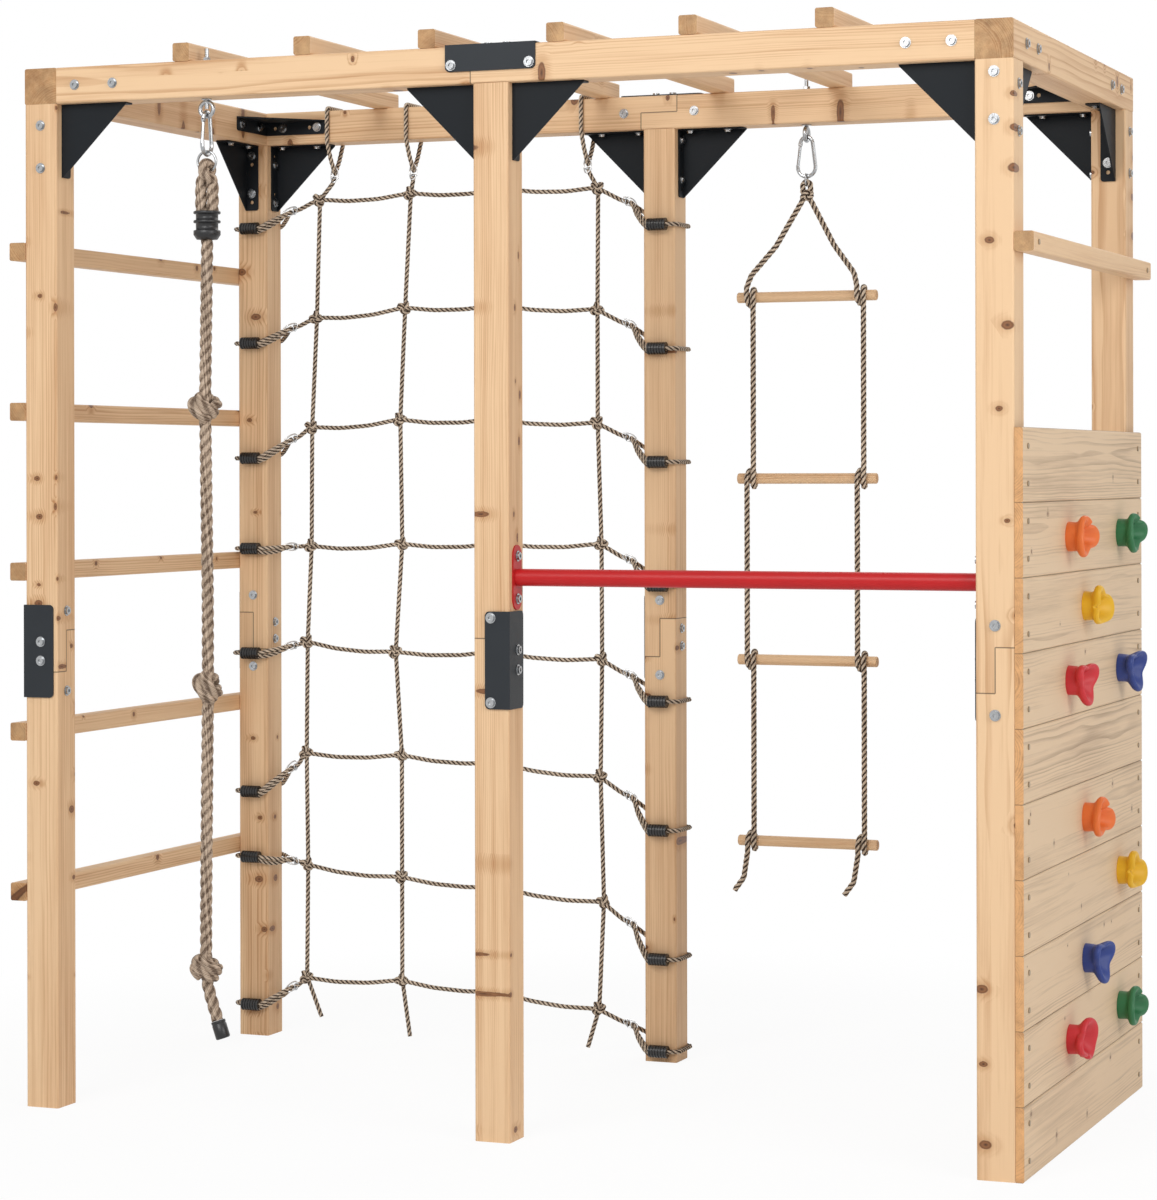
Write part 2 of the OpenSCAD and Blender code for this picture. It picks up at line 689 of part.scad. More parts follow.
// The flange's free edge with its two round corners
module plate_edge(reach, r) {
  translate([reach - 2 * r, -splice_l / 2 + r]) square([2 * r, splice_l - 2 * r]);
  translate([reach - 2 * r, -splice_l / 2]) square([r, splice_l]);
  for (s = [-1, 1]) translate([reach - r, s * (splice_l / 2 - r)]) circle(r, $fn = 32);
}

module plates(list) {
  for (p = list) on_site() set_at(p[0], p[1], p[2], p[3]) joint_plate();
}

// A slotted outline: a rectangle with half-round ends
module slot_shape(h, w) {
  square([w, h - w], center = true);
  for (s = [-1, 1]) translate([0, s * (h - w) / 2]) circle(d = w);
}

module turning_bar() {
  x0 = post_x[1] + timber;
  x1 = post_x[2];
  color("firebrick") on_site() difference() {
    translate([0, half, turn_z]) {
      translate([x0, 0, 0]) rotate([0, 90, 0]) cylinder(h = x1 - x0, d = turn_d);
      for (x = [x0, x1 - sheet_t])
        translate([x, 0, 0]) rotate([90, 0, 90])
          linear_extrude(sheet_t) slot_shape(turn_plate_h, turn_plate_w);
    }
    for (f = TURN_SCREWS) hole(f, bolt_d / 2 + bolt_clear);
  }
}

// ================================ fasteners ========================================
// A round head with a washer under it and a hexagon socket, standing on z = 0
module cap_head(d, h) {
  socket_d = 7;
  difference() {
    union() {
      cylinder(h = washer_t, d = washer_d, $fn = 24);
      cylinder(h = washer_t + h, d = d, $fn = 24);
    }
    translate([0, 0, washer_t + h - 2.5]) cylinder(h = 3, d = socket_d, $fn = 6);
  }
}

module through_bolts() {
  for (f = BOLTS)
    color("silver") on_site() {
      along(f[0], -f[1]) cap_head(head_d, head_h);
      along(f[0] - 0.5 * f[1], f[1]) cylinder(h = f[2] + 0.5, d = bolt_d, $fn = 24);
    }
}

// The nut on a bolt's far end looks like its head
module bolt_nuts() {
  for (f = BOLTS)
    color("silver") on_site()
      along(f[0] + f[2] * f[1], f[1]) cap_head(head_d, head_h);
}

module coach_screws() {
  for (f = COACH_SCREWS)
    color("silver") on_site() {
      along(f[0], -f[1]) cap_head(head_d, head_h);
      along(f[0] - 0.5 * f[1], f[1]) cylinder(h = f[2] + 0.5, d = bolt_d, $fn = 24);
    }
}

module wood_screws() {
  for (f = WOOD_SCREWS)
    color("gray") on_site() {
      along(f[0] - screw_head_h * f[1], f[1])
        cylinder(h = screw_head_h, d = screw_head_d, $fn = 20);
      along(f[0] - 0.5 * f[1], f[1]) cylinder(h = f[2] + 0.5, d = screw_d, $fn = 16);
    }
}

// ================================ links ============================================
module bow(r, wire, from, sweep) {
  rotate([0, 0, from]) rotate_extrude(angle = sweep) translate([r, 0]) circle(d = wire);
}

// An eye below the beam, its shank through the beam and a nut with a washer on top.
// turned is true for an eye that is seen edge on from the front.
module eye_bolt(x, y, turned) {
  shank_over = 26;
  nut_h = 7;
  nut_d = 15;
  translate([x, y, 0]) {
    translate([0, 0, eye_low_z + eye_r]) rotate([90, 0, turned ? 90 : 0]) bow(eye_r, wire_d, 0, 360);
    translate([0, 0, under_z - eye_drop + 1])
      cylinder(h = eye_drop + timber + shank_over - 1, d = wire_d);
    translate([0, 0, under_z - 2]) cylinder(h = 2, d = washer_d);
    translate([0, 0, frame_h]) cylinder(h = washer_t, d = washer_d);
    translate([0, 0, frame_h + washer_t]) cylinder(h = nut_h, d = nut_d, $fn = 6);
  }
}

module eye_bolts() {
  color("silver") on_site() {
    eye_bolt(rope_x, half, false);
    eye_bolt(ladder_x, ladder_y, true);
  }
}

// Drawn in the x-z plane with the middle of its top wire at zero. The gate is on the -x side.
function arc(cz, r, from, to, steps) =
  [for (i = [0:steps]) let (a = from + (to - from) * i / steps) [r * cos(a), 0, cz + r * sin(a)]];
function gate_side(s) =
  arc(-narrow_r, narrow_r, 180 - side_slant, 180, 1)[0]
  - s * [sin(side_slant), 0, cos(side_slant)];
function carabiner_path() = concat(
  [gate_side(hinge_s - slot_top)],
  arc(-narrow_r, narrow_r, 180 - side_slant, side_slant, 8),
  arc(wide_r + wire_d - carabiner_l, wide_r, side_slant, -180 - side_slant, 10),
  [gate_side(side_l - nose_l)]
);

module at_gate_pivot() {
  translate(gate_side(hinge_s)) rotate([0, side_slant, 0]) children();
}

module carabiner_body() {
  ear_t = (wire_d - 1 - gate_tab_t) / 2 - gate_slot_clear;
  ear_r = knuckle_r - 0.4;
  color("silver") {
    tube(carabiner_path(), wire_r, WIRE_SIDES, Y);
    at_gate_pivot() {
      for (s = [-1, 1])
        translate([0, s * (gate_tab_t / 2 + gate_slot_clear + ear_t / 2), 0]) rotate([90, 0, 0])
          linear_extrude(ear_t, center = true) {
            circle(ear_r);
            translate([-ear_r, 0]) square([2 * ear_r, slot_top + 0.8]);
          }
      rotate([90, 0, 0]) cylinder(h = wire_d - 1.5, d = gate_pin_d, center = true);
    }
  }
}

module carabiner_gate() {
  gate_l = side_l - nose_l - gate_gap - hinge_s;
  tab_r = knuckle_r - 0.6;
  shoulder = knuckle_r + 1;
  color("gray") at_gate_pivot() difference() {
    union() {
      translate([0, 0, -gate_l]) cylinder(h = gate_l - shoulder, r = gate_r);
      rotate([90, 0, 0]) cylinder(h = gate_tab_t, r = tab_r, center = true);
      translate([-tab_r + 0.4, -gate_tab_t / 2, -shoulder - 1])
        cube([2 * tab_r - 0.8, gate_tab_t, shoulder + 1]);
    }
    rotate([90, 0, 0])
      cylinder(h = gate_tab_t + 1, d = gate_pin_d + 2 * gate_bore_clear, center = true);
  }
}

// The rope's carabiner hangs edge on from the front, the ladder's hangs square to it
module at_rope_carabiner() {
  on_site() translate([rope_x, half, carabiner_top_z]) rotate([0, 0, 90]) children();
}
module at_ladder_carabiner() {
  on_site() translate([ladder_x, ladder_y, carabiner_top_z]) children();
}

module rope_ring() {
  color("silver") on_site() translate([rope_x, half, rope_ring_z]) rotate([90, 0, 0])
    bow(rope_ring_r, rope_ring_wire_d, 0, 360);
}

module ladder_link() {
  color("silver") on_site() translate([ladder_x, ladder_y, link_top_z - link_bow_r])
    rotate([90, 0, 90]) {
      bow(link_bow_r, link_wire_d, 0, 180);
      translate([0, -link_straight]) bow(link_bow_r, link_wire_d, 180, 180);
      for (s = [-1, 1]) translate([s * link_bow_r, 0, 0]) rotate([90, 0, 0])
        cylinder(h = link_straight, d = link_wire_d);
    }
}

// ================================ climbing rope ====================================
// The rope goes up one leg, over the ring's wire and down the other leg, and the legs
// turn a quarter round each other on their way down to the ferrule, where they are cut flat.
function splice_leg(way) = [
  for (i = [0:9])
    let (s = i / 8, r = splice_turn_r + (splice_leg_r - splice_turn_r) * s, a = way + 90 * s)
      [r * cos(a), r * sin(a), -splice_h * s]
];
function splice_path() = concat(
  [for (i = [9:-1:1]) splice_leg(90)[i]],
  [for (i = [0:6]) [0, splice_turn_r * cos(30 * i), splice_turn_r * sin(30 * i)]],
  [for (i = [1:9]) splice_leg(270)[i]]
);

module rope_splice() {
  below = splice_h / 2;
  color("tan") on_site() translate([rope_x, half, ring_low_z]) difference() {
    tube(splice_path(), rope_d / 2, ROPE_SIDES, X);
    translate([0, 0, -splice_h - below]) cylinder(h = below, d = 3 * rope_d);
  }
}

module rope_ferrule() {
  rib = 5;
  waist_d = ferrule_d - 8;
  foot = 17;
  color([0.1, 0.1, 0.11]) on_site() translate([rope_x, half, ferrule_low_z]) {
    cylinder(h = foot / 2, d1 = rope_d + 12, d2 = ferrule_d);
    translate([0, 0, foot / 2]) cylinder(h = foot / 2, d = ferrule_d);
    translate([0, 0, foot - 1]) cylinder(h = ferrule_h - foot, d = waist_d);
    for (z = [foot + (ferrule_h - foot) * 0.42, ferrule_h - rib])
      translate([0, 0, z]) cylinder(h = rib, d = ferrule_d);
  }
}

function rope_point(p) = [rope_x, half, ferrule_low_z] + p;

module climbing_rope() {
  color("tan") on_site() difference() {
    tube([for (p = ROPE_ROUTE) rope_point(p)], rope_d / 2, ROPE_SIDES, Y);
    for (k = KNOT_DEPTHS) translate(knot_place(k)) cylinder(h = knot_h, d = knot_d, center = true);
  }
}

function knot_place(depth) =
  rope_point([lookup(depth, [for (p = ROPE_ROUTE) [-p[2], p[0]]]), 0, -depth]);

// A knot is three close turns of the rope, with the rope going into its ends
module rope_knots() {
  turn_r = (knot_d - rope_d) / 2;
  step = (knot_h - rope_d) / 2;
  for (k = KNOT_DEPTHS)
    color("tan") on_site() translate(knot_place(k)) rotate_extrude() {
      translate([0, -knot_h / 2]) square([rope_d / 2, knot_h]);
      translate([0, -step]) square([turn_r, 2 * step]);
      translate([turn_r, 0]) circle(d = rope_d);
      for (s = [-1, 1]) translate([turn_r - 5, s * step]) circle(d = rope_d);
    }
}

module rope_end_cap() {
  last = len(ROPE_ROUTE) - 1;
  way = unit(ROPE_ROUTE[last] - ROPE_ROUTE[last - 1]);
  round_r = 3;
  color([0.1, 0.1, 0.11]) on_site() set_at(rope_point(ROPE_ROUTE[last]), cross(Y, way), Y, way) {
    cylinder(h = cap_l - round_r, d = cap_d);
    cylinder(h = cap_l, d = cap_d - 2 * round_r);
    translate([0, 0, cap_l - round_r]) rotate_extrude()
      translate([cap_d / 2 - round_r, 0]) circle(round_r, $fn = 24);
  }
}

// ================================ rope ladder ======================================
function ladder_rung_z(i) = under_z - ladder_first - i * ladder_pitch;

// One turn round a rung, from the front under it and over it back to the front
function hitch(x, z, shift) = [
  for (k = [0:HITCH_STEPS])
    let (a = 360 * k / HITCH_STEPS)
      [x + shift * k / HITCH_STEPS, -hitch_r * cos(a), z - hitch_r * sin(a)]
];

// The turn over the link, which comes out of the top knot
function ladder_top() = concat(
  [[ladder_turn_r, 0, ladder_knot_z + ladder_knot_r / 2]],
  arc(link_low_z, ladder_turn_r, 0, 180, 6),
  [[-ladder_turn_r, 0, ladder_knot_z + ladder_knot_r / 2]]
);

// One side rope: down from the top knot, a turn round each rung, and a tail
function ladder_path(side) =
  let (x = side * ladder_rope_gap / 2, s = hitch_shift)
  concat(
    [[side * 7, 0, ladder_knot_z - ladder_knot_r / 2],
     [side * 7 + (x - s / 2 - side * 7) / 2, -2, (ladder_knot_z + ladder_rung_z(0)) / 2],
     [x - s / 2 - side * 8, -8, ladder_rung_z(0) + 46]],
    [for (i = [0:LADDER_RUNGS - 1])
      let (way = i % 2 == 0 ? 1 : -1, from = x - way * s / 2, z = ladder_rung_z(i))
        each concat([[from, -hitch_r + 1.5, z + 20]],
                    hitch(from, z, way * s),
                    [[from + way * s, -hitch_r + 1.5, z - 20]])],
    [[x - s / 2 - 14, 0, ladder_rung_z(LADDER_RUNGS - 1) - 78],
     [x - s / 2 - 34, 0, ladder_rung_z(LADDER_RUNGS - 1) - LADDER_TAIL]]
  );

module ladder_ropes() {
  for (side = [-1, 1])
    color("tan") on_site() translate([ladder_x, ladder_y, 0])
      tube(ladder_path(side), ladder_rope_r, LADDER_SIDES, X);
  color("tan") on_site() translate([ladder_x, ladder_y, 0])
    tube(ladder_top(), ladder_rope_r, LADDER_SIDES, Y);
  color("tan") on_site() translate([ladder_x, ladder_y, ladder_knot_z]) rotate_extrude() {
    translate([0, -ladder_knot_r]) square([ladder_knot_r - 6, 2 * ladder_knot_r]);
    for (s = [-1, 1]) translate([ladder_knot_r - 6, s * (ladder_knot_r - 6)])
      circle(d = ladder_rope_d, $fn = 24);
    translate([ladder_knot_r - 5, 0]) circle(d = ladder_rope_d, $fn = 24);
  }
}

module ladder_rungs() {
  chamfer = 1.5;
  d = ladder_rung_d;
  for (i = [0:LADDER_RUNGS - 1])
    color("burlywood") on_site()
      translate([ladder_x - ladder_rung_l / 2, ladder_y, ladder_rung_z(i)]) rotate([0, 90, 0])
        rotate_extrude() polygon([[0, 0], [d / 2 - chamfer, 0], [d / 2, chamfer],
                                  [d / 2, ladder_rung_l - chamfer],
                                  [d / 2 - chamfer, ladder_rung_l], [0, ladder_rung_l]]);
}

// ================================ climbing net =====================================
// A rope loop round a square timber: x runs across the timber to the place where the loop
// closes, at reach beyond it, and y along the next side. The near side may bulge out.
function loop_round(off, reach, bulge) =
  let (t = timber, r = 3, near = bulge > 0 ? t * 0.2 : r - off)
  [[t + reach, half - net_r - 0.4], [t + reach * 0.6, half - 22], [t + 2, -off + 2],
   [t - (bulge > 0 ? near : r), -off - bulge], [near, -off - bulge],
   [-off, -off + r], [-off, t + off - r], [r - off, t + off], [t - r, t + off],
   [t + 2, t + off - 2], [t + reach * 0.6, half + 22],
   [t + reach, half + net_r + 0.4], [t + reach + strap_tip, half]];

function strap_off(side, i) = net_r + link_gap + (side == 0 && i == 4 ? sheet_t : 0);

// A strap round a back post, from its sleeve on the front face up or down to the net.
// way is 1 for the left post, where the strap closes on the right.
module strap(post, z, join, way, off) {
  flat = loop_round(off, strap_reach, sleeve_d / 2 + link_gap - off);
  path = [
    for (p = flat)
      let (rise = max(0, p[0] - 0.8 * timber) / (0.2 * timber + strap_reach + strap_tip))
        [post + (way > 0 ? p[0] : timber - p[0]), back_y + p[1], z + (join - z) * rise]
  ];
  tube(path, net_r, NET_SIDES, Z, closed = true);
}

// The place where a strap closes, as [distance from the left end, height]
function strap_join(side, i) =
  let (k = NET_KNOTS[side == 0 ? 0 : 3][i], z = STRAP_Z[side][i], out = strap_reach + strap_tip)
  [side == 0 ? timber + out : post_x[1] - out, z + (k[1] - z) * 0.62];

module net_straps() {
  for (side = [0, 1], i = [0:7])
    color("tan") on_site()
      strap(side == 0 ? 0 : post_x[1], STRAP_Z[side][i], strap_join(side, i)[1],
            side == 0 ? 1 : -1, strap_off(side, i));
  for (x = NET_LOOP_X)
    color("tan") on_site()
      tube([for (p = loop_round(net_r + link_gap, under_z - net_join_z, 0))
              [x, back_y + p[1], frame_h - p[0]]], net_r, NET_SIDES, X, closed = true);
}

// Ribbed sleeves round the straps, on the fronts of the posts
module net_sleeves() {
  ribs = 7;
  groove = 2;
  step = sleeve_l / (2 * ribs - 1);
  for (side = [0, 1], i = [0:7])
    color([0.1, 0.1, 0.11]) on_site()
      translate([(side == 0 ? 0 : post_x[1]) + half - sleeve_l / 2,
                 back_y - sleeve_d / 2 - link_gap, STRAP_Z[side][i]])
        rotate([0, 90, 0]) difference() {
          union() {
            cylinder(h = sleeve_l, d = sleeve_d - 2 * groove);
            for (k = [0:ribs - 1]) translate([0, 0, 2 * k * step]) cylinder(h = step, d = sleeve_d);
          }
          translate([0, 0, -1]) cylinder(h = sleeve_l + 2, r = net_r + link_gap);
        }
}

// Wire rings round the rope ends where the straps and the beam loops hold them
module net_clips() {
  clip_wire = 3;
  turn_r = net_r + link_gap + clip_wire / 2;
  for (side = [0, 1], i = [0:7])
    let (j = strap_join(side, i), way = side == 0 ? 1 : -1)
      color("silver") on_site()
        translate([j[0] + way * (rope_start + 3), net_y, j[1]]) rotate([0, 90, 0])
          bow(turn_r, clip_wire, 0, 360);
  for (x = NET_LOOP_X)
    color("silver") on_site() translate([x, net_y, net_join_z - strap_tip - rope_start - 3])
      bow(turn_r, clip_wire, 0, 360);
}

// The points of a span after its first end, sagging between its two ends
function span(a, b, steps) = [
  for (i = [1:steps])
    let (s = i / steps, low = 4 * s * (1 - s) * SAG)
      [a[0] + (b[0] - a[0]) * s, net_y - net_r, a[1] + (b[1] - a[1]) * s - low]
];

module upright(i) {
  top_z = net_join_z - strap_tip - rope_start;
  path = concat([[NET_LOOP_X[i], net_y, top_z], [NET_LOOP_X[i], net_y, top_z - ring_stretch]],
                [for (p = concat(NET_KNOTS[i], [NET_TAILS[i]])) [p[0], net_y + net_r, p[1]]]);
  tube(path, net_r, NET_SIDES, Y);
}

module cross_rope(i) {
  a = strap_join(0, i);
  b = strap_join(1, i);
  knots = [for (k = [0:3]) NET_KNOTS[k][i]];
  out = rope_start;
  path = concat([[a[0] + out, net_y, a[1]], [a[0] + out + ring_stretch, net_y, a[1]],
                 [knots[0][0], net_y - net_r, knots[0][1]]],
                span(knots[0], knots[1], 2), span(knots[1], knots[2], 2),
                span(knots[2], knots[3], 2),
                [[b[0] - out - ring_stretch, net_y, b[1]], [b[0] - out, net_y, b[1]]]);
  tube(path, net_r, NET_SIDES, Z);
}

module net_ropes() {
  color("tan") on_site() {
    for (i = [0:3]) upright(i);
    for (i = [0:7]) cross_rope(i);
    for (column = NET_KNOTS, k = column)
      translate([k[0], net_y, k[1]]) sphere(d = net_knot_d, $fn = 7);
  }
}

post_half(post_x[0], 0, Y, false);  // front_left_post_lower
post_half(post_x[0], 0, Y, true);  // front_left_post_upper
post_half(post_x[1], 0, -X, false);  // front_middle_post_lower
post_half(post_x[1], 0, -X, true);  // front_middle_post_upper
post_half(post_x[2], 0, X, false);  // front_right_post_lower
post_half(post_x[2], 0, X, true);  // front_right_post_upper
post_half(post_x[0], back_y, -X, false);  // back_left_post_lower
post_half(post_x[0], back_y, -X, true);  // back_left_post_upper
post_half(post_x[1], back_y, X, false);  // back_middle_post_lower
post_half(post_x[1], back_y, X, true);  // back_middle_post_upper
post_half(post_x[2], back_y, X, false);  // back_right_post_lower
post_half(post_x[2], back_y, X, true);  // back_right_post_upper
side_beam(0);  // left_beam
side_beam(post_x[2]);  // right_beam
long_beam_half(0, false);  // front_beam_left
long_beam_half(0, true);  // front_beam_right
long_beam_half(back_y, false);  // back_beam_left
long_beam_half(back_y, true);  // back_beam_right
monkey_rung(0);  // monkey_rung_1
monkey_rung(1);  // monkey_rung_2
monkey_rung(2);  // monkey_rung_3
monkey_rung(3);  // monkey_rung_4
monkey_rung(4);  // monkey_rung_5
monkey_rung(5);  // monkey_rung_6
wall_bars();
high_bar();
wall_planks();
holds("orange");  // holds_orange
holds("green");  // holds_green
holds("yellow");  // holds_yellow
holds("red");  // holds_red
holds("blue");  // holds_blue
brackets(LONG_BRACKETS);  // long_beam_brackets
brackets(SIDE_BRACKETS);  // side_beam_brackets
brackets(TOP_BRACKETS);  // top_corner_brackets
plates(POST_PLATES);  // post_joint_plates
plates(BEAM_PLATES);  // beam_joint_plates
turning_bar();
through_bolts();
bolt_nuts();
coach_screws();
wood_screws();
eye_bolts();
at_rope_carabiner() carabiner_body();  // rope_carabiner
at_rope_carabiner() carabiner_gate();  // rope_carabiner_gate
rope_ring();
rope_splice();
rope_ferrule();
climbing_rope();
rope_knots();
rope_end_cap();
at_ladder_carabiner() carabiner_body();  // ladder_carabiner
at_ladder_carabiner() carabiner_gate();  // ladder_carabiner_gate
ladder_link();
ladder_ropes();
ladder_rungs();
net_ropes();
net_straps();
net_sleeves();
net_clips();
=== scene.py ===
"""Dresses the wooden climbing frame: camera, studio, ropes, holds, links and finishes.

Sizes of the frame's own parts are in millimetres on the site axes of the CAD source, with the
outer corner of the front left foot at zero; Site.place turns them into the row frame's metres.
"""

import logging
import math
from dataclasses import dataclass, field, replace
from enum import Enum
from functools import partialmethod
from typing import Iterable, Optional, Sequence, Union

import bpy
import numpy as np
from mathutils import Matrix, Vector


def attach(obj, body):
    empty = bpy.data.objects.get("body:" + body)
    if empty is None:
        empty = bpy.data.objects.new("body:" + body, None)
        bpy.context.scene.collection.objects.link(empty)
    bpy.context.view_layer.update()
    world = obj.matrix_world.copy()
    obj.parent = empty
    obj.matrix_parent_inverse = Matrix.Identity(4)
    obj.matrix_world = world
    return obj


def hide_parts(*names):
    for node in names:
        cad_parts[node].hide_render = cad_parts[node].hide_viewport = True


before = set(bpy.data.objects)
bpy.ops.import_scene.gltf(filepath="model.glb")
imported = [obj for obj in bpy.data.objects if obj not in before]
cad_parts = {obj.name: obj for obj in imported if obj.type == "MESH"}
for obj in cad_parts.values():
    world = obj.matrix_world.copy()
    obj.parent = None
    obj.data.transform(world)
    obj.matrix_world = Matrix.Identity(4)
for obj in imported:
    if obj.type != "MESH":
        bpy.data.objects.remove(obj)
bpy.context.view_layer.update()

log = logging.getLogger("climbing_frame")
logging.basicConfig(level=logging.INFO, format="%(message)s")

Colour = tuple[float, float, float]
Material = bpy.types.Material
Value = Union["Signal", int, float]
Tint = Union["Signal", Colour]


# ---- places and routes


class Site:
    """The timber frame's sizes and the change from site millimetres to row-frame metres."""

    ORIGIN = np.array([996.0, 487.4, 0.0])
    TIMBER = 70.0
    HALF = 35.0
    LENGTH = 1970.0
    UNDER = 1950.0
    TOP = 2020.0
    BAR = 35.0
    PLANK = 131.0
    MIDDLE = 985.0
    POST_X = (0.0, 950.0, 1900.0)
    BACK_Y = 900.0
    LAP = 887.0

    @staticmethod
    def place(points: Sequence) -> np.ndarray:
        """Turns site millimetres into row-frame metres.

        Args:
            points: One point or an array of points, in millimetres.

        Returns:
            The same points in metres, in the row frame.
        """
        return (np.asarray(points, float) - Site.ORIGIN) / 1000.0


def run_of(points: np.ndarray) -> np.ndarray:
    """The length run along a polyline, at each of its points."""
    steps = np.linalg.norm(np.diff(points, axis=0), axis=1)
    return np.concatenate([[0.0], np.cumsum(steps)])


def respaced(points: np.ndarray, run: np.ndarray, count: int) -> np.ndarray:
    """The columns of a polyline, read off at even steps of its run."""
    at = np.linspace(0.0, run[-1], count)
    return np.stack([np.interp(at, run, column) for column in points.T], axis=1)


def smoothed(line: np.ndarray, passes: int, closed: bool = False) -> np.ndarray:
    """Moves each point half way to its neighbours' mean, with an open line's ends held.

    Args:
        line: The points; an open line's are changed in place.
        passes: How often.
        closed: Whether the last point joins the first.

    Returns:
        The eased points.
    """
    for _ in range(passes):
        if closed:
            line = (np.roll(line, 1, axis=0) + 2 * line + np.roll(line, -1, axis=0)) / 4
        else:
            line[1:-1] = (line[:-2] + 2 * line[1:-1] + line[2:]) / 4
    return line


def columns(*parts: Union[float, np.ndarray]) -> np.ndarray:
    """Puts coordinates side by side as rows of points, with single numbers repeated."""
    return np.stack(np.broadcast_arrays(*parts), axis=1)


def relaxed(points: Sequence, spacing: float, passes: int, closed: bool = False) -> np.ndarray:
    """Evenly spaced points on a polyline, with its corners eased.

    Args:
        points: The polyline's corners, in millimetres.
        spacing: The length of a step.
        passes: How often the points are eased.
        closed: Whether the last corner joins the first.

    Returns:
        The eased points, without the repeated first point of a closed line.
    """
    p = np.asarray(points, float)
    if closed:
        p = np.vstack([p, p[:1]])
    run = run_of(p)
    line = respaced(p, run, max(3, int(round(run[-1] / spacing)) + 1))
    return smoothed(line[:-1] if closed else line, passes, closed)


# ---- surfaces


def show(name: str, data: bpy.types.ID) -> bpy.types.Object:
    """A new object in the scene."""
    made = bpy.data.objects.new(name, data)
    bpy.context.scene.collection.objects.link(made)
    return made


@dataclass
class Surface:
    """A mesh as arrays: points, four-sided and three-sided faces and their corners' UVs."""

    points: np.ndarray
    quads: np.ndarray
    quad_uv: np.ndarray
    tris: np.ndarray = field(default_factory=lambda: np.zeros((0, 3), int))
    tri_uv: np.ndarray = field(default_factory=lambda: np.zeros((0, 3, 2)))

    @staticmethod
    def join(parts: Iterable["Surface"]) -> "Surface":
        """Puts several surfaces into one.

        Args:
            parts: The surfaces.

        Returns:
            One surface with all their points and faces.
        """
        parts = list(parts)
        starts = np.cumsum([0] + [len(s.points) for s in parts])
        return Surface(
            np.vstack([s.points for s in parts]),
            np.vstack([s.quads + k for s, k in zip(parts, starts)]),
            np.vstack([s.quad_uv for s in parts]),
            np.vstack([s.tris + k for s, k in zip(parts, starts)]),
            np.vstack([s.tri_uv for s in parts]),
        )

    @staticmethod
    def rings(x: np.ndarray, y: np.ndarray, z: np.ndarray) -> "Surface":
        """The closed surface over a grid whose rows are rings, the last joined to the first."""
        quads = grid_faces(*x.shape, True)
        points = np.stack([x, y, z], axis=2).reshape(-1, 3)
        return Surface(points, quads, np.zeros((len(quads), 4, 2)))

    def moved(self, shift: Sequence, turn: np.ndarray = np.eye(3)) -> "Surface":
        """The surface turned by a 3 by 3 matrix and then shifted."""
        return replace(self, points=self.points @ turn.T + np.asarray(shift, float))

    def piece(self, name: str, finish: Material, body: str, slot: str, *hides: str
              ) -> bpy.types.Object:
        """Makes the Blender object of this surface, with its place in its mesh.

        Args:
            name: The piece's name.
            finish: Its material.
            body: The CAD body that it rides on.
            slot: The name of a material slot; not used.
            hides: The CAD nodes that it stands for.

        Returns:
            The object.
        """
        mesh = bpy.data.meshes.new(name)
        corners = np.concatenate([self.quads.ravel(), self.tris.ravel()])
        sizes = np.repeat([4, 3], [len(self.quads), len(self.tris)])
        starts = np.cumsum(sizes) - sizes
        mesh.vertices.add(len(self.points))
        mesh.vertices.foreach_set("co", Site.place(self.points).ravel())
        mesh.loops.add(len(corners))
        mesh.loops.foreach_set("vertex_index", corners.astype(np.int32))
        mesh.polygons.add(len(sizes))
        mesh.polygons.foreach_set("loop_start", starts.astype(np.int32))
        mesh.polygons.foreach_set("use_smooth", np.ones(len(sizes), bool))
        uv = np.concatenate([self.quad_uv.ravel(), self.tri_uv.ravel()])
        mesh.uv_layers.new(name="Surface").data.foreach_set("uv", uv)
        mesh.update(calc_edges=True)
        mesh.validate()
        mesh.materials.append(finish)
        made = show(name, mesh)
        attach(made, body)
        if hides:
            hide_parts(*hides)
        log.info("%s: %d points on body %s", name, len(self.points), body)
        return made


def grid_faces(rows: int, columns: int, wrap_rows: bool) -> np.ndarray:
    """Four-sided faces of a grid whose columns close on themselves.

    Args:
        rows: Number of rings.
        columns: Number of points in a ring.
        wrap_rows: Whether the last ring joins the first.

    Returns:
        Corner numbers, one row per face, anticlockwise seen from outside.
    """
    i = np.arange(rows if wrap_rows else rows - 1)[:, None]
    k = np.arange(columns)[None, :]
    j, m = (i + 1) % rows, (k + 1) % columns
    flat = [(a * columns + b + 0 * (i + k)).ravel() for a, b in ((i, k), (i, m), (j, m), (j, k))]
    return np.stack(flat, axis=1)


def rope_section(angle: np.ndarray, strands: int, depth: float) -> np.ndarray:
    """Outline of a laid rope as a share of its radius.

    It is the outer edge of round strands that touch each other, with their grooves eased so
    that a groove is depth of the radius deep.

    Args:
        angle: Angle round the rope from a strand's middle, in radians.
        strands: Number of strands.
        depth: Depth of the grooves as a share of the radius.

    Returns:
        The share of the radius at each angle.
    """
    wedge = math.pi / strands
    off = (angle + wedge) % (2 * wedge) - wedge
    ratio = math.sin(wedge)
    centre = 1 / (1 + ratio)
    strand = centre * ratio
    edge = centre * np.cos(off) + np.sqrt(
        np.maximum(strand**2 - (centre * np.sin(off)) ** 2, 0)
    )
    low = centre * math.cos(wedge)
    return 1 - depth * (1 - (edge - low) / (1 - low))


@dataclass(frozen=True)
class Lay:
    """How a rope is laid: its strands, the length of one turn and the depth of its grooves."""

    strands: int = 3
    pitch: float = 60.0
    depth: float = 0.2


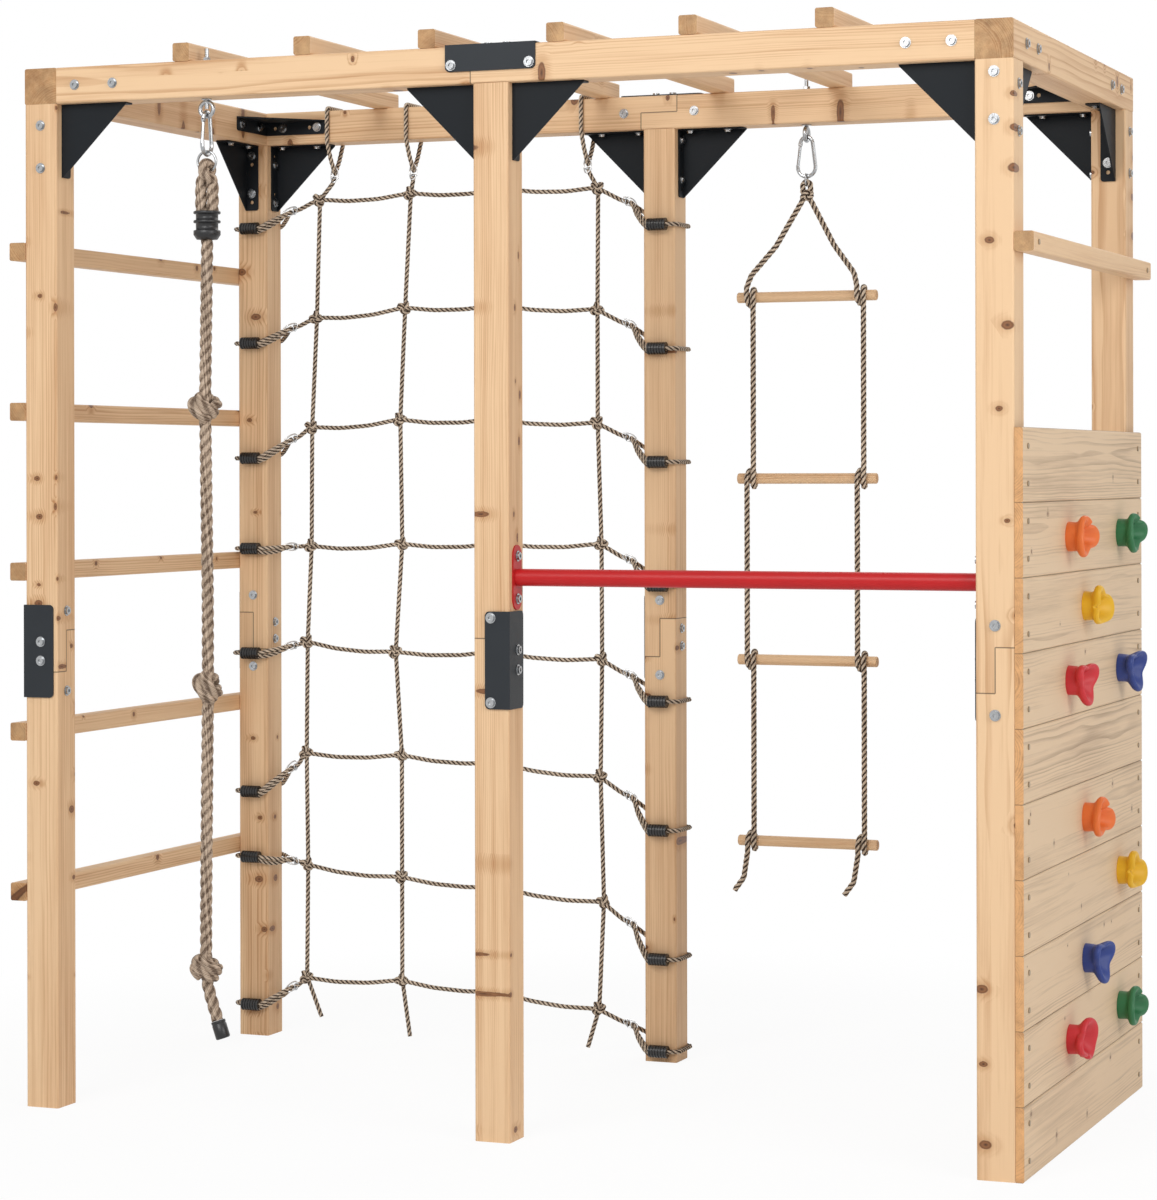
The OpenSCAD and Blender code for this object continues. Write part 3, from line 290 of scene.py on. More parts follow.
def tube(route: np.ndarray, radius: float, across: Sequence, sides: int, closed: bool = False,
         lay: Optional[Lay] = None) -> Surface:
    """A round or laid tube along a route.

    Each ring stands square to the route. Its first point lies towards across, and its radius
    is the rope section's, turned by the length run so far over the pitch.

    Args:
        route: Points in millimetres.
        radius: The radius over the strands.
        across: A direction that the route never takes.
        sides: Points in a ring.
        closed: Whether the route closes on itself.
        lay: The strands' form, or None for a round tube.

    Returns:
        The surface, with UVs that run once round and by metres along.
    """
    p = np.asarray(route, float)
    if closed:
        ahead = np.roll(p, -1, axis=0) - np.roll(p, 1, axis=0)
    else:
        ahead = np.gradient(p, axis=0)
    t = ahead / np.linalg.norm(ahead, axis=1, keepdims=True)
    a = np.asarray(across, float)
    n = a - (t @ a)[:, None] * t
    n /= np.linalg.norm(n, axis=1, keepdims=True)
    b = np.cross(t, n)
    run = run_of(np.vstack([p, p[:1]]) if closed else p)
    total = run[-1]
    angle = 2 * math.pi * np.arange(sides) / sides
    r = np.full((len(p), sides), float(radius))
    if lay is not None:
        turns = max(1, round(total / lay.pitch)) / total if closed else 1 / lay.pitch
        twist = 2 * math.pi * run[: len(p), None] * turns
        r *= rope_section(angle - twist, lay.strands, lay.depth)
    cos, sin = np.cos(angle)[:, None], np.sin(angle)[:, None]
    ring = cos * n[:, None, :] + sin * b[:, None, :]
    points = (p[:, None, :] + r[:, :, None] * ring).reshape(-1, 3)
    quads = grid_faces(len(p), sides, closed)
    i, k = np.divmod(np.arange(len(quads)), sides)
    u0, u1, v0, v1 = k / sides, (k + 1) / sides, run[i] / 1000, run[i + 1] / 1000
    quad_uv = columns(u0, v0, u1, v0, u1, v1, u0, v1).reshape(-1, 4, 2)
    if closed:
        return Surface(points, quads, quad_uv)
    k = np.arange(sides)
    m = (k + 1) % sides
    middle, last = len(points), len(points) - sides
    tris = np.vstack([columns(middle, m, k), columns(middle + 1, last + k, last + m)])
    tri_uv = np.zeros((2 * sides, 3, 2))
    tri_uv[sides:, :, 1] = total / 1000
    tri_uv[:, 1, 0] = np.tile(k / sides, 2)
    tri_uv[:, 2, 0] = np.tile(m / sides, 2)
    return Surface(np.vstack([points, p[:1], p[-1:]]), quads, quad_uv, tris, tri_uv)


def revolve(profile: Sequence, sides: int) -> Surface:
    """A closed profile turned round the z axis.

    Args:
        profile: Points [radius, height] in millimetres, anticlockwise with radius to the right.
        sides: Points in a ring.

    Returns:
        The surface.
    """
    r, z = np.hsplit(np.asarray(profile, float), 2)
    angle = 2 * math.pi * np.arange(sides) / sides
    return Surface.rings(r * np.cos(angle), r * np.sin(angle), z + 0 * angle)


def turned(axis: str, degrees: float) -> np.ndarray:
    """The matrix of a turn about a site axis.

    Args:
        axis: X, Y or Z.
        degrees: The turn.

    Returns:
        A 3 by 3 matrix.
    """
    c, s = math.cos(math.radians(degrees)), math.sin(math.radians(degrees))
    i, j = {"X": (1, 2), "Y": (2, 0), "Z": (0, 1)}[axis]
    m = np.eye(3)
    m[i, i], m[i, j], m[j, i], m[j, j] = c, -s, s, c
    return m


# ---- shader writing


class Signal:
    """One output socket. Python's operators on it add Math nodes."""

    def __init__(self, sheet: "Sheet", socket: bpy.types.NodeSocket) -> None:
        """Keeps the node sheet and the socket."""
        self.sheet, self.socket = sheet, socket

    def of(self, operation: str, *others: Value, swap: bool = False) -> "Signal":
        """A Math node of any operation, such as ABSOLUTE, with its values swapped if asked."""
        values = (*others, self) if swap else (self, *others)
        return self.sheet.node("Math", {"operation": operation}, dict(enumerate(values)))

    __add__ = __radd__ = partialmethod(of, "ADD")
    __sub__ = partialmethod(of, "SUBTRACT")
    __rsub__ = partialmethod(of, "SUBTRACT", swap=True)
    __mul__ = __rmul__ = partialmethod(of, "MULTIPLY")
    __truediv__ = partialmethod(of, "DIVIDE")
    __pow__ = partialmethod(of, "POWER")
    __mod__ = partialmethod(of, "FLOORED_MODULO")
    __gt__ = partialmethod(of, "GREATER_THAN")

    def eased(self, low: float, high: float) -> "Signal":
        """0 below low and 1 above high, with a smooth step between."""
        return self.sheet.node("MapRange", {"interpolation_type": "SMOOTHSTEP"},
                               {"Value": self, "From Min": low, "From Max": high})

    def beside(self, out: str) -> "Signal":
        """Another output of the same node."""
        return Signal(self.sheet, self.socket.node.outputs[out])


class Sheet:
    """The node sheet of a material or of the world."""

    def __init__(self, owner: bpy.types.ID) -> None:
        """Empties the owner's sheet.

        Args:
            owner: The material or world.
        """
        owner.use_nodes = True
        self.owner = owner
        self.tree = owner.node_tree
        self.tree.nodes.clear()

    @classmethod
    def material(cls, name: str) -> "Sheet":
        """The sheet of a new material."""
        return cls(bpy.data.materials.new(f"{name}_finish"))

    def node(self, kind: str, settings: Optional[dict] = None, inputs: Optional[dict] = None,
             out: Union[int, str] = 0) -> Signal:
        """Adds a node.

        Args:
            kind: Its type, without ShaderNode in front.
            settings: Its properties, set first; stops are a colour ramp's [place, colour].
            inputs: Values or signals by socket name or number.
            out: The output to return.

        Returns:
            That output as a signal; an end node has none and gives None inside it.
        """
        made = self.tree.nodes.new(f"ShaderNode{kind}")
        for key, value in (settings or {}).items():
            if key == "stops":
                ramp = made.color_ramp
                while len(ramp.elements) < len(value):
                    ramp.elements.new(0.5)
                for element, (place, colour) in zip(ramp.elements, value):
                    element.position = place
                    element.color = (*colour, 1.0)
            else:
                setattr(made, key, value)
        for key, value in (inputs or {}).items():
            socket = made.inputs[key]
            if isinstance(value, Signal):
                self.tree.links.new(value.socket, socket)
            elif isinstance(value, tuple) and socket.type == "RGBA":
                socket.default_value = (*value, 1.0)
            else:
                socket.default_value = value
        return Signal(self, made.outputs[out] if made.outputs else None)

    def split(self, vector: Signal) -> list[Signal]:
        """The x, y and z of a vector."""
        x = self.node("SeparateXYZ", {}, {0: vector})
        return [x, x.beside("Y"), x.beside("Z")]

    def coordinates(self) -> tuple[Signal, Signal, Signal, Signal]:
        """Object coordinates: the vector and its x, y and z, in metres."""
        vector = self.node("TexCoord", out="Object")
        return (vector, *self.split(vector))

    def seen(self) -> Signal:
        """1 for camera, glossy and transmission rays, so that metal shows the white too."""
        camera = self.node("LightPath", out="Is Camera Ray")
        glossy = camera.of("MAXIMUM", camera.beside("Is Glossy Ray"))
        return glossy.of("MAXIMUM", camera.beside("Is Transmission Ray"))

    def combine(self, x: Value, y: Value, z: Value) -> Signal:
        """A vector of three values."""
        return self.node("CombineXYZ", {}, {0: x, 1: y, 2: z})

    def noise(self, vector: Signal, scale: float = 1.0, detail: float = 2.0,
              rough: float = 0.5) -> Signal:
        """A noise value near 0.5."""
        return self.node("TexNoise", {"noise_dimensions": "3D"},
                         {"Vector": vector, "Scale": scale, "Detail": detail, "Roughness": rough})

    def mix(self, share: Value, a: Tint, b: Tint, blend: str = "MIX") -> Signal:
        """A mix of two colours."""
        return self.node("Mix", {"data_type": "RGBA", "blend_type": blend},
                         {0: share, 6: a, 7: b}, 2)

    def ramp(self, share: Signal, *stops: tuple[float, Colour]) -> Signal:
        """A colour ramp."""
        return self.node("ValToRGB", {"stops": stops}, {0: share})

    def finish(self, colour: Tint, rough: Value, metallic: Value = 0.0,
               height: Optional[Signal] = None, bump: float = 0.3, depth: float = 0.001,
               coat: float = 0.0, specular: float = 0.5) -> Material:
        """Ends the sheet in a Principled shader.

        Args:
            colour: Base colour.
            rough: Roughness.
            metallic: Metallic.
            height: Height for the bump, from 0 to 1.
            bump: The bump's strength.
            depth: The height of 1 in metres.
            coat: Clear coat weight.
            specular: Specular level.

        Returns:
            The material.
        """
        inputs = {"Base Color": colour, "Roughness": rough, "Metallic": metallic,
                  "Coat Weight": coat, "Specular IOR Level": specular}
        if height is not None:
            inputs["Normal"] = self.node(
                "Bump", {}, {"Height": height, "Strength": bump, "Distance": depth})
        shader = self.node("BsdfPrincipled", {}, inputs)
        self.node("OutputMaterial", {}, {"Surface": shader})
        return self.owner


# ---- finishes


class Grain(Enum):
    """The site axis that a timber's fibres follow."""

    X = 0
    Y = 1
    Z = 2


@dataclass(frozen=True)
class SpruceFinish:
    """Planed spruce: growth rings round a pith outside the timber, knots and fine fibres.

    The ring value is the distance from the pith over the ring width, bent by slow noise and
    round the knots. A knot is a branch from the pith: a spot in one of a few cells of a flat
    Voronoi pattern, whose axes are the angle round the pith and the length along the timber.
    lap gives the cross axis, the sign and the middle of a half lap, whose joint is a dark line;
    edge is how far from the middle a board's darker rounded edge begins, or 0.
    """

    name: str
    grain: Grain
    centre: tuple[float, float]
    seed: float
    pith: tuple[float, float] = (0.06, 0.045)
    period: tuple[float, float] = (0.0, 0.0)
    ring: float = 0.0042
    light: Colour = (0.81, 0.555, 0.33)
    dark: Colour = (0.47, 0.225, 0.09)
    knot_share: float = 0.6
    knot_size: float = 0.075
    bend: float = 0.014
    tone: float = 0.5
    end_dark: float = 0.62
    end_tint: Colour = (1.0, 0.88, 0.72)
    lap: tuple[int, float, float] = (0, 0.0, 0.0)
    edge: float = 0.0

    def build(self) -> Material:
        """Makes the material.

        Returns:
            The finished material.
        """
        s = Sheet.material(self.name)
        _, *xyz = s.coordinates()
        along = xyz.pop(self.grain.value)
        cell: Value = self.seed
        seed_step = 3.7
        local = []
        for side, middle, period in zip(xyz, self.centre, self.period):
            offset = side - middle
            if period:
                shifted = offset + period / 2
                cell = (shifted / period).of("FLOOR") * seed_step + cell
                offset = shifted % period - period / 2
            local.append(offset)
        (u, v), w = local, along + cell

        def cloud(across: float, lengthwise: float, detail: float = 2.0, rough: float = 0.5,
                  start: float = 0.0) -> Signal:
            """Noise with these rates per metre across and along the fibres."""
            place = s.combine(u * across, v * across, w * lengthwise + start)
            return s.noise(place, 1.0, detail, rough)

        pith_u, pith_v = u - self.pith[0], v - self.pith[1]
        far = (pith_u ** 2 + pith_v ** 2).of("SQRT")
        metres_per_radian, branches_per_metre, ragged = 0.08, 11.0, 0.024
        round_pith = pith_v.of("ARCTAN2", pith_u) * metres_per_radian + self.seed
        place = s.combine(round_pith, w, 0.0)
        spot = s.node("TexVoronoi", {"voronoi_dimensions": "2D"},
                      {"Scale": branches_per_metre, "Vector": place}, "Distance")
        pick, size, _ = s.split(spot.beside("Color"))
        chosen = 1 - (pick > self.knot_share)
        near = (spot + (cloud(140, 140) - 0.5) * ragged) / (size * 0.9 + 0.5)
        knot = (1 - near.eased(self.knot_size * 0.75, self.knot_size)) * chosen
        halo = (1 - near.eased(self.knot_size * 0.6, self.knot_size * 3.2)) * chosen

        uneven = s.noise(s.combine(far * 75, w * 0.3, self.seed)) - 0.5
        faint = s.noise(s.combine(far * 42, w * 0.9, self.seed + 4)).eased(0.38, 0.66)
        bent = far + (cloud(8, 1.76) - 0.5) * self.bend + uneven * 0.012 + halo * 0.005
        phase = (bent / self.ring) % 1.0
        late = phase.eased(0.35, 0.92) * (1 - phase.eased(0.93, 1.0)) * (faint * 0.85 + 0.15)

        fibre = cloud(420, 9, 3, 0.6)
        broad = cloud(9, 1.6, start=5) - 0.5
        streak = cloud(70, 1.2, 3, 0.6) - 0.5
        share = late * 0.5 + (fibre - 0.5) * 0.5 + broad * 0.9 + streak * 1.15
        share = share + (self.tone - 0.44) + halo * 0.42
        wood = s.ramp(share.of("MAXIMUM", 0.0), (0.0, self.light), (1.0, self.dark))
        ringed = s.ramp(near / self.knot_size, (0.0, (0.07, 0.028, 0.014)),
                        (0.45, (0.27, 0.115, 0.045)), (1.0, (0.11, 0.042, 0.018)))

        normal = s.split(s.node("TexCoord", out="Normal"))
        across_fibres = 0.8
        end = normal[self.grain.value].of("ABSOLUTE") > across_fibres
        worn = (cloud(900, 900) - 0.5) * 0.3 + (cloud(45, 45, 3) - 0.5) * 0.5
        dim = (1 - end * (worn + (1 - self.end_dark))) * (1 - self.joint(local, along) * 0.75)
        tinted = s.combine(*(dim * (1 - end * (1 - c)) for c in self.end_tint))
        colour = s.mix(1.0, s.mix(knot, wood, ringed), tinted, "MULTIPLY")
        height = late * 0.5 + fibre * 0.4 - knot * 0.3
        rough = 0.56 + (fibre - 0.5) * 0.2 - knot * 0.12
        return s.finish(colour, rough, height=height, bump=0.25, depth=0.0006, specular=0.35)

    def joint(self, local: list[Signal], along: Signal) -> Value:
        """1 on the thin lines of a half lap and on a board's rounded edges, 0 elsewhere.

        Args:
            local: The two distances from the timber's middle line.
            along: The place along the timber.

        Returns:
            The share of the line.
        """
        side, sign, middle = self.lap
        if self.edge:
            return local[1].of("ABSOLUTE").eased(self.edge, 0.0658)
        if not sign:
            return 0.0
        across, off = local[side] * sign, along - middle
        half, line, blur = 0.04, 0.0004, 0.0016
        shoulder = (off - ((across > 0) * (2 * half) - half)).of("ABSOLUTE")
        face = across.of("ABSOLUTE") + (off.of("ABSOLUTE") > half)
        return 1 - shoulder.of("MINIMUM", face).eased(line, blur)


@dataclass(frozen=True)
class CoatFinish:
    """Powder coat or moulded plastic: one colour, slow tone changes and a fine skin."""

    name: str
    colour: Colour
    rough: float
    skin: float
    bump: float
    change: float = 0.1
    coat: float = 0.0
    specular: float = 0.5

    def build(self) -> Material:
        """Makes the material.

        Returns:
            The finished material.
        """
        s = Sheet.material(self.name)
        vector, *_ = s.coordinates()
        slow = s.noise(vector, 14, 3) - 0.5
        fine = s.noise(vector, self.skin, 2, 0.6)
        low, high = (tuple(min(1.0, c * k) for c in self.colour) for k in (0.72, 1.28))
        colour = s.mix(slow * (2 * self.change) + 0.5, low, high)
        rough = self.rough + (fine - 0.5) * 0.16 + slow * 0.1
        return s.finish(colour, rough, height=fine, bump=self.bump, depth=0.0004,
                        coat=self.coat, specular=self.specular)


@dataclass(frozen=True)
class ZincFinish:
    """Bright zinc plating with soft blotches and fine scratches."""

    name: str
    colour: Colour = (0.42, 0.43, 0.44)
    rough: float = 0.25

    def build(self) -> Material:
        """Makes the material.

        Returns:
            The finished material.
        """
        s = Sheet.material(self.name)
        vector, *_ = s.coordinates()
        blot = s.noise(vector, 120, 3)
        fine = s.noise(vector, 900)
        low, high = (tuple(min(1.0, c * k) for c in self.colour) for k in (0.8, 1.15))
        rough = self.rough + (blot - 0.5) * 0.22 + (fine - 0.5) * 0.1
        return s.finish(s.mix(blot, low, high), rough, metallic=1.0, height=fine, bump=0.08,
                        depth=0.0003)


@dataclass(frozen=True)
class RopeFinish:
    """Laid rope of brown and straw coloured yarns, with painted shade in grooves and yarn gaps.

    UV u runs once round the rope and v along it in metres. A strand's middle is where
    strands times (u minus v over the pitch) is whole, and yarns cross it at a slant.
    """

    name: str
    lay: Lay
    # groove weighs the painted shade in the grooves between strands.
    groove: float = 0.5
    # yarn weighs the painted shade in the stripes between yarns.
    yarn: float = 0.26
    light: Colour = (0.66, 0.515, 0.39)
    # dark is both the yarns' own dark colour and the colour of the painted shade.
    dark: Colour = (0.07, 0.038, 0.022)

    def build(self) -> Material:
        """Makes the material.

        Returns:
            The finished material.
        """
        s = Sheet.material(self.name)
        u, v, _ = s.split(s.node("TexCoord", out="UV"))
        pitch, yarns = self.lay.pitch / 1000, 8 * self.lay.strands
        strand = (u - v / pitch) * (2 * math.pi * self.lay.strands)
        crown = strand.of("COSINE") * 0.5 + 0.5
        # Painted shade and highlight: each yarn's top stays light and the crease between yarns is
        # darkened, as lit and shaded yarns; the same stripes give the bump.
        slant = u * yarns + v * (2.2 / pitch)
        yarn = (slant * (2 * math.pi)).of("SINE") * 0.5 + 0.5
        pick = s.node("TexWhiteNoise", {"noise_dimensions": "1D"},
                      {"W": slant.of("FLOOR") % yarns})
        patch = s.noise(s.combine(u * 8, v * 260, 0.0))
        fuzz = s.noise(s.combine(u * 60, v * 900, 0.0))
        # Painted shade: the grooves between the strands are darkened towards the dark colour.
        groove = 1 - crown.eased(0.05, 0.75)
        share = groove * self.groove + (1 - yarn) * self.yarn + 0.1
        share = share + (pick - 0.5) * 0.55 + (patch - 0.5) * 0.7 + (fuzz - 0.5) * 0.4
        colour = s.mix(share.of("MINIMUM", 1.0).of("MAXIMUM", 0.0), self.light, self.dark)
        height = yarn * 0.6 + crown * 0.3 + fuzz * 0.3
        return s.finish(colour, 0.82 + (fuzz - 0.5) * 0.15, height=height, bump=0.55,
                        depth=0.0008, specular=0.25)


# ---- sub-assemblies


def dress(finish: Material, *nodes: str) -> None:
    """Gives CAD nodes their finish.

    Args:
        finish: The finish.
        *nodes: The nodes' names.
    """
    for node in nodes:
        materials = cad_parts[node].data.materials
        materials.clear()
        materials.append(finish)
        log.info("%s: %s", node, finish.name)


@dataclass
class Studio:
    """Camera, lamps, floor and background."""

    camera_place: tuple[float, float, float] = (3400.196, -5679.478, 1233.144)
    yaw: float = 0.376
    roll: float = 0.002
    lens: float = 100.58
    shift_y: float = -0.1066

    def camera(self) -> None:
        """Sets the camera of the photograph, which is level, with its picture shifted down."""
        data = bpy.data.cameras.new("camera")
        data.sensor_width = 36.0
        data.lens = self.lens
        data.shift_y = self.shift_y
        data.clip_end = 100
        made = show("camera", data)
        made.location = tuple(Site.place(self.camera_place))
        made.rotation_euler = (math.pi / 2, self.roll, self.yaw)
        bpy.context.scene.camera = made

    def lamp(self, name: str, place: Colour, target: Colour, size: float, watts: float) -> None:
        """A square soft box.

        Args:
            name: The lamp's name.
            place: Where it stands, in metres.
            target: The point that it faces.
            size: Side of its square.
            watts: Power.
        """
        data = bpy.data.lights.new(name, "AREA")
        data.shape = "SQUARE"
        data.size = size
        data.energy = watts
        made = show(name, data)
        made.location = place
        made.rotation_euler = (Vector(target) - Vector(place)).to_track_quat("-Z", "Y").to_euler()

    def world(self) -> None:
        """A soft world that the camera and glossy rays see as white."""
        made = bpy.data.worlds.new("studio")
        s = Sheet(made)
        fill, back = (s.node("Background", {}, {"Color": (1.0, 1.0, 1.0), "Strength": k})
                      for k in (0.36, 1.0))
        mix = s.node("MixShader", {}, {0: s.seen(), 1: fill, 2: back})
        s.node("OutputWorld", {}, {0: mix})
        bpy.context.scene.world = made

    def floor(self) -> None:
        """A pale floor, far larger than the frame."""
        half = 40.0
        mesh = bpy.data.meshes.new("floor")
        mesh.from_pydata([(-half, -half, 0), (half, -half, 0), (half, half, 0), (-half, half, 0)],
                         [], [(0, 1, 2, 3)])
        s = Sheet.material("pale_floor")
        vector, x, y, _ = s.coordinates()
        colour = s.mix(s.noise(vector, 0.7, 2), (0.93, 0.93, 0.93), (0.95, 0.95, 0.95))
        plain = s.node("BsdfPrincipled", {},
                       {"Base Color": colour, "Roughness": 0.9, "Specular IOR Level": 0.1})
        white = s.node("Emission", {}, {"Color": (1.0, 1.0, 1.0), "Strength": 1.0})
        far = (x * x + y * y).of("SQRT").eased(1.2, 2.2)
        share = s.seen() * (0.92 + far * 0.08)
        both = s.node("MixShader", {}, {0: share, 1: plain, 2: white})
        s.node("OutputMaterial", {}, {"Surface": both})
        mesh.materials.append(s.owner)
        show("floor", mesh)

    def build(self) -> None:
        """Makes the whole studio."""
        self.camera()
        self.world()
        self.floor()
        middle = (0.0, 0.0, 1.0)
        self.lamp("key", (-0.7, -5.2, 4.2), middle, 3.0, 165)
        self.lamp("fill", (4.8, -2.6, 3.0), middle, 3.0, 104)
        self.lamp("rim", (0.6, 4.2, 4.6), middle, 3.4, 75)
        bpy.context.scene.view_settings.view_transform = "Standard"


@dataclass
class ClimbingRope:
    """The hanging rope with its splice, knots, ferrule and end cap."""

    x: float = 380.0
    y: float = 35.0
    radius: float = 12.0
    ring_low: float = 1810.1
    splice_height: float = 76.0
    ferrule_height: float = 54.0
    knot_depths: tuple[float, ...] = (320.0, 857.0, 1396.0)
    route: tuple[tuple[float, float], ...] = (
        (0, 0), (0, -30), (-1, -80), (-3, -200), (-5, -320), (-4, -380),
        (-3, -450), (-1, -610), (0, -690), (0, -857), (-1, -940), (-3, -1110),
        (-5, -1300), (-5, -1396), (-4, -1415), (0, -1435), (6, -1455),
        (13, -1475), (20, -1495),
    )
    lay: Lay = Lay(3, 66.0, 0.34)

    @property
    def ferrule_low(self) -> float:
        """Height of the ferrule's lower face."""
        return self.ring_low - self.splice_height - self.ferrule_height

    def hanging_route(self) -> np.ndarray:
        """The hanging stretch from the ferrule to the end cap, in millimetres."""
        corners = [(self.x + dx, self.y, self.ferrule_low + dz) for dx, dz in self.route]
        return relaxed(corners, 3.0, 30)

    def splice_route(self) -> np.ndarray:
        """One leg up, over the ring and the other leg down, turning a quarter on the way.

        A leg's distance from the middle runs from the turn's radius to the rope's own while it
        turns by 90 degrees, both with a smooth step that ends a third of the way down.

        Returns:
            The route in millimetres.
        """
        ring_wire = 2.8
        turn = self.radius + ring_wire
        share = np.linspace(0, 1, 60)
        soft = 0.5 - 0.5 * np.cos(math.pi * np.minimum(1.0, share / 0.3))
        r = turn + (self.radius + 0.3 - turn) * soft
        legs = []
        for start in (90, 270):
            a = np.radians(start + 90 * soft)
            down = -self.splice_height * share
            legs.append(columns(r * np.cos(a), r * np.sin(a), down))
        a = np.radians(np.linspace(0, 180, 24))
        over = columns(0, turn * np.cos(a), turn * np.sin(a))
        line = np.vstack([legs[0][:0:-1], over, legs[1][1:]])
        return relaxed(line + [self.x, self.y, self.ring_low], 2.5, 4)

    def knot_route(self, lean: float, start: float) -> np.ndarray:
        """A knot's turns: a short slanted coil whose ends run into the rope's own line.

        Args:
            lean: How far the coil's axis leans, in degrees.
            start: Where its first turn starts, in degrees.

        Returns:
            The route about the knot's middle.
        """
        share = np.linspace(0, 1, 150)
        rounds, coil, half_height = 2.1, 20.0, 17.0
        turns = 2 * math.pi * rounds * share + math.radians(start)
        ends = np.minimum(share, 1 - share) / 0.12
        swell = 0.25 + 0.75 * np.sin(np.clip(ends, 0, 1) * math.pi / 2)
        r = coil * swell * (1 + 0.1 * np.cos(turns * 0.5 + 1.0))
        z = half_height * (1 - 2 * share)
        line = columns(r * np.cos(turns), 0.92 * r * np.sin(turns), z)
        return line @ turned("Y", lean).T

    def ferrule(self) -> Surface:
        """The ribbed ferrule: a chamfered cup below, two ribs and a waist between.

        Returns:
            The ferrule in its place.
        """
        h, r, rib, waist, bore = self.ferrule_height, 26.0, 5.0, 21.4, self.radius + 0.2
        profile = [(bore, 0), (r - 6, 0), (r - 1, 7.5), (r, 9), (r, 16.5), (r - 0.8, 17.3),
                   (waist, 17.6), (waist, 31.2)]
        for z in (31.6, h - rib):
            profile += [(r - 0.9, z), (r, z + 0.9), (r, z + rib - 0.9), (r - 0.9, z + rib)]
            if z < h - rib:
                profile += [(waist, z + rib + 0.3), (waist, h - rib - 0.3)]
        profile += [(self.radius + 1.0, h), (bore, h - 1)]
        return revolve(profile, 72).moved((self.x, self.y, self.ferrule_low))

    def end_cap(self) -> Surface:
        """The moulded cap on the rope's end.

        Returns:
            The cap, square to the rope's last stretch.
        """
        r, length = 14.0, 36.0
        groove = r - 0.7
        profile = [(0.01, 0.4), (r - 1.2, 0.4), (r, 1.4), (r, 5), (groove, 5.6), (groove, 7.4),
                   (r, 8), (r, length - 3), (r - 1, length - 1), (r - 3, length - 0.2),
                   (0.01, length)]
        (x0, z0), (x1, z1) = self.route[-2:]
        way = np.array([x1 - x0, 0, z1 - z0]) / math.hypot(x1 - x0, z1 - z0)
        turn = np.stack([np.cross([0, 1, 0], way), [0, 1, 0], way], axis=1)
        return revolve(profile, 48).moved((self.x + x1, self.y, self.ferrule_low + z1), turn)

    def build(self, rope: Material, plastic: Material) -> None:
        """Makes the rope and the pieces on it.

        Args:
            rope: The rope's finish.
            plastic: The finish of ferrule and cap.
        """
        ride = "climbing_rope"
        route = self.hanging_route()
        cord = tube(route, self.radius, (0, 1, 0), 24, lay=self.lay).piece(
            "climbing_rope_line", rope, ride, "climbing_rope_fibre", "climbing_rope")
        knots = []
        xs, zs = np.transpose(self.route)
        for number, depth in enumerate(self.knot_depths):
            x = self.x + float(np.interp(depth, -zs, xs))
            line = self.knot_route((40, 48, 36)[number], 110.0 * number)
            knots.append(tube(line, self.radius, (0.2, 0.1, 1), 20, lay=self.lay).moved(
                (x, self.y, self.ferrule_low - depth)))
        knot = Surface.join(knots).piece(
            "climbing_rope_knots", rope, ride, "climbing_rope_fibre", "rope_knots")
        tube(self.splice_route(), self.radius, (1, 0, 0), 24, lay=self.lay).piece(
            "climbing_rope_splice", rope, ride, "climbing_rope_fibre", "rope_splice")
        self.ferrule().piece(
            "climbing_rope_ferrule", plastic, ride, "black_plastic", "rope_ferrule")
        cap = self.end_cap().piece(
            "climbing_rope_cap", plastic, ride, "black_plastic", "rope_end_cap")
        points = Site.place(route)


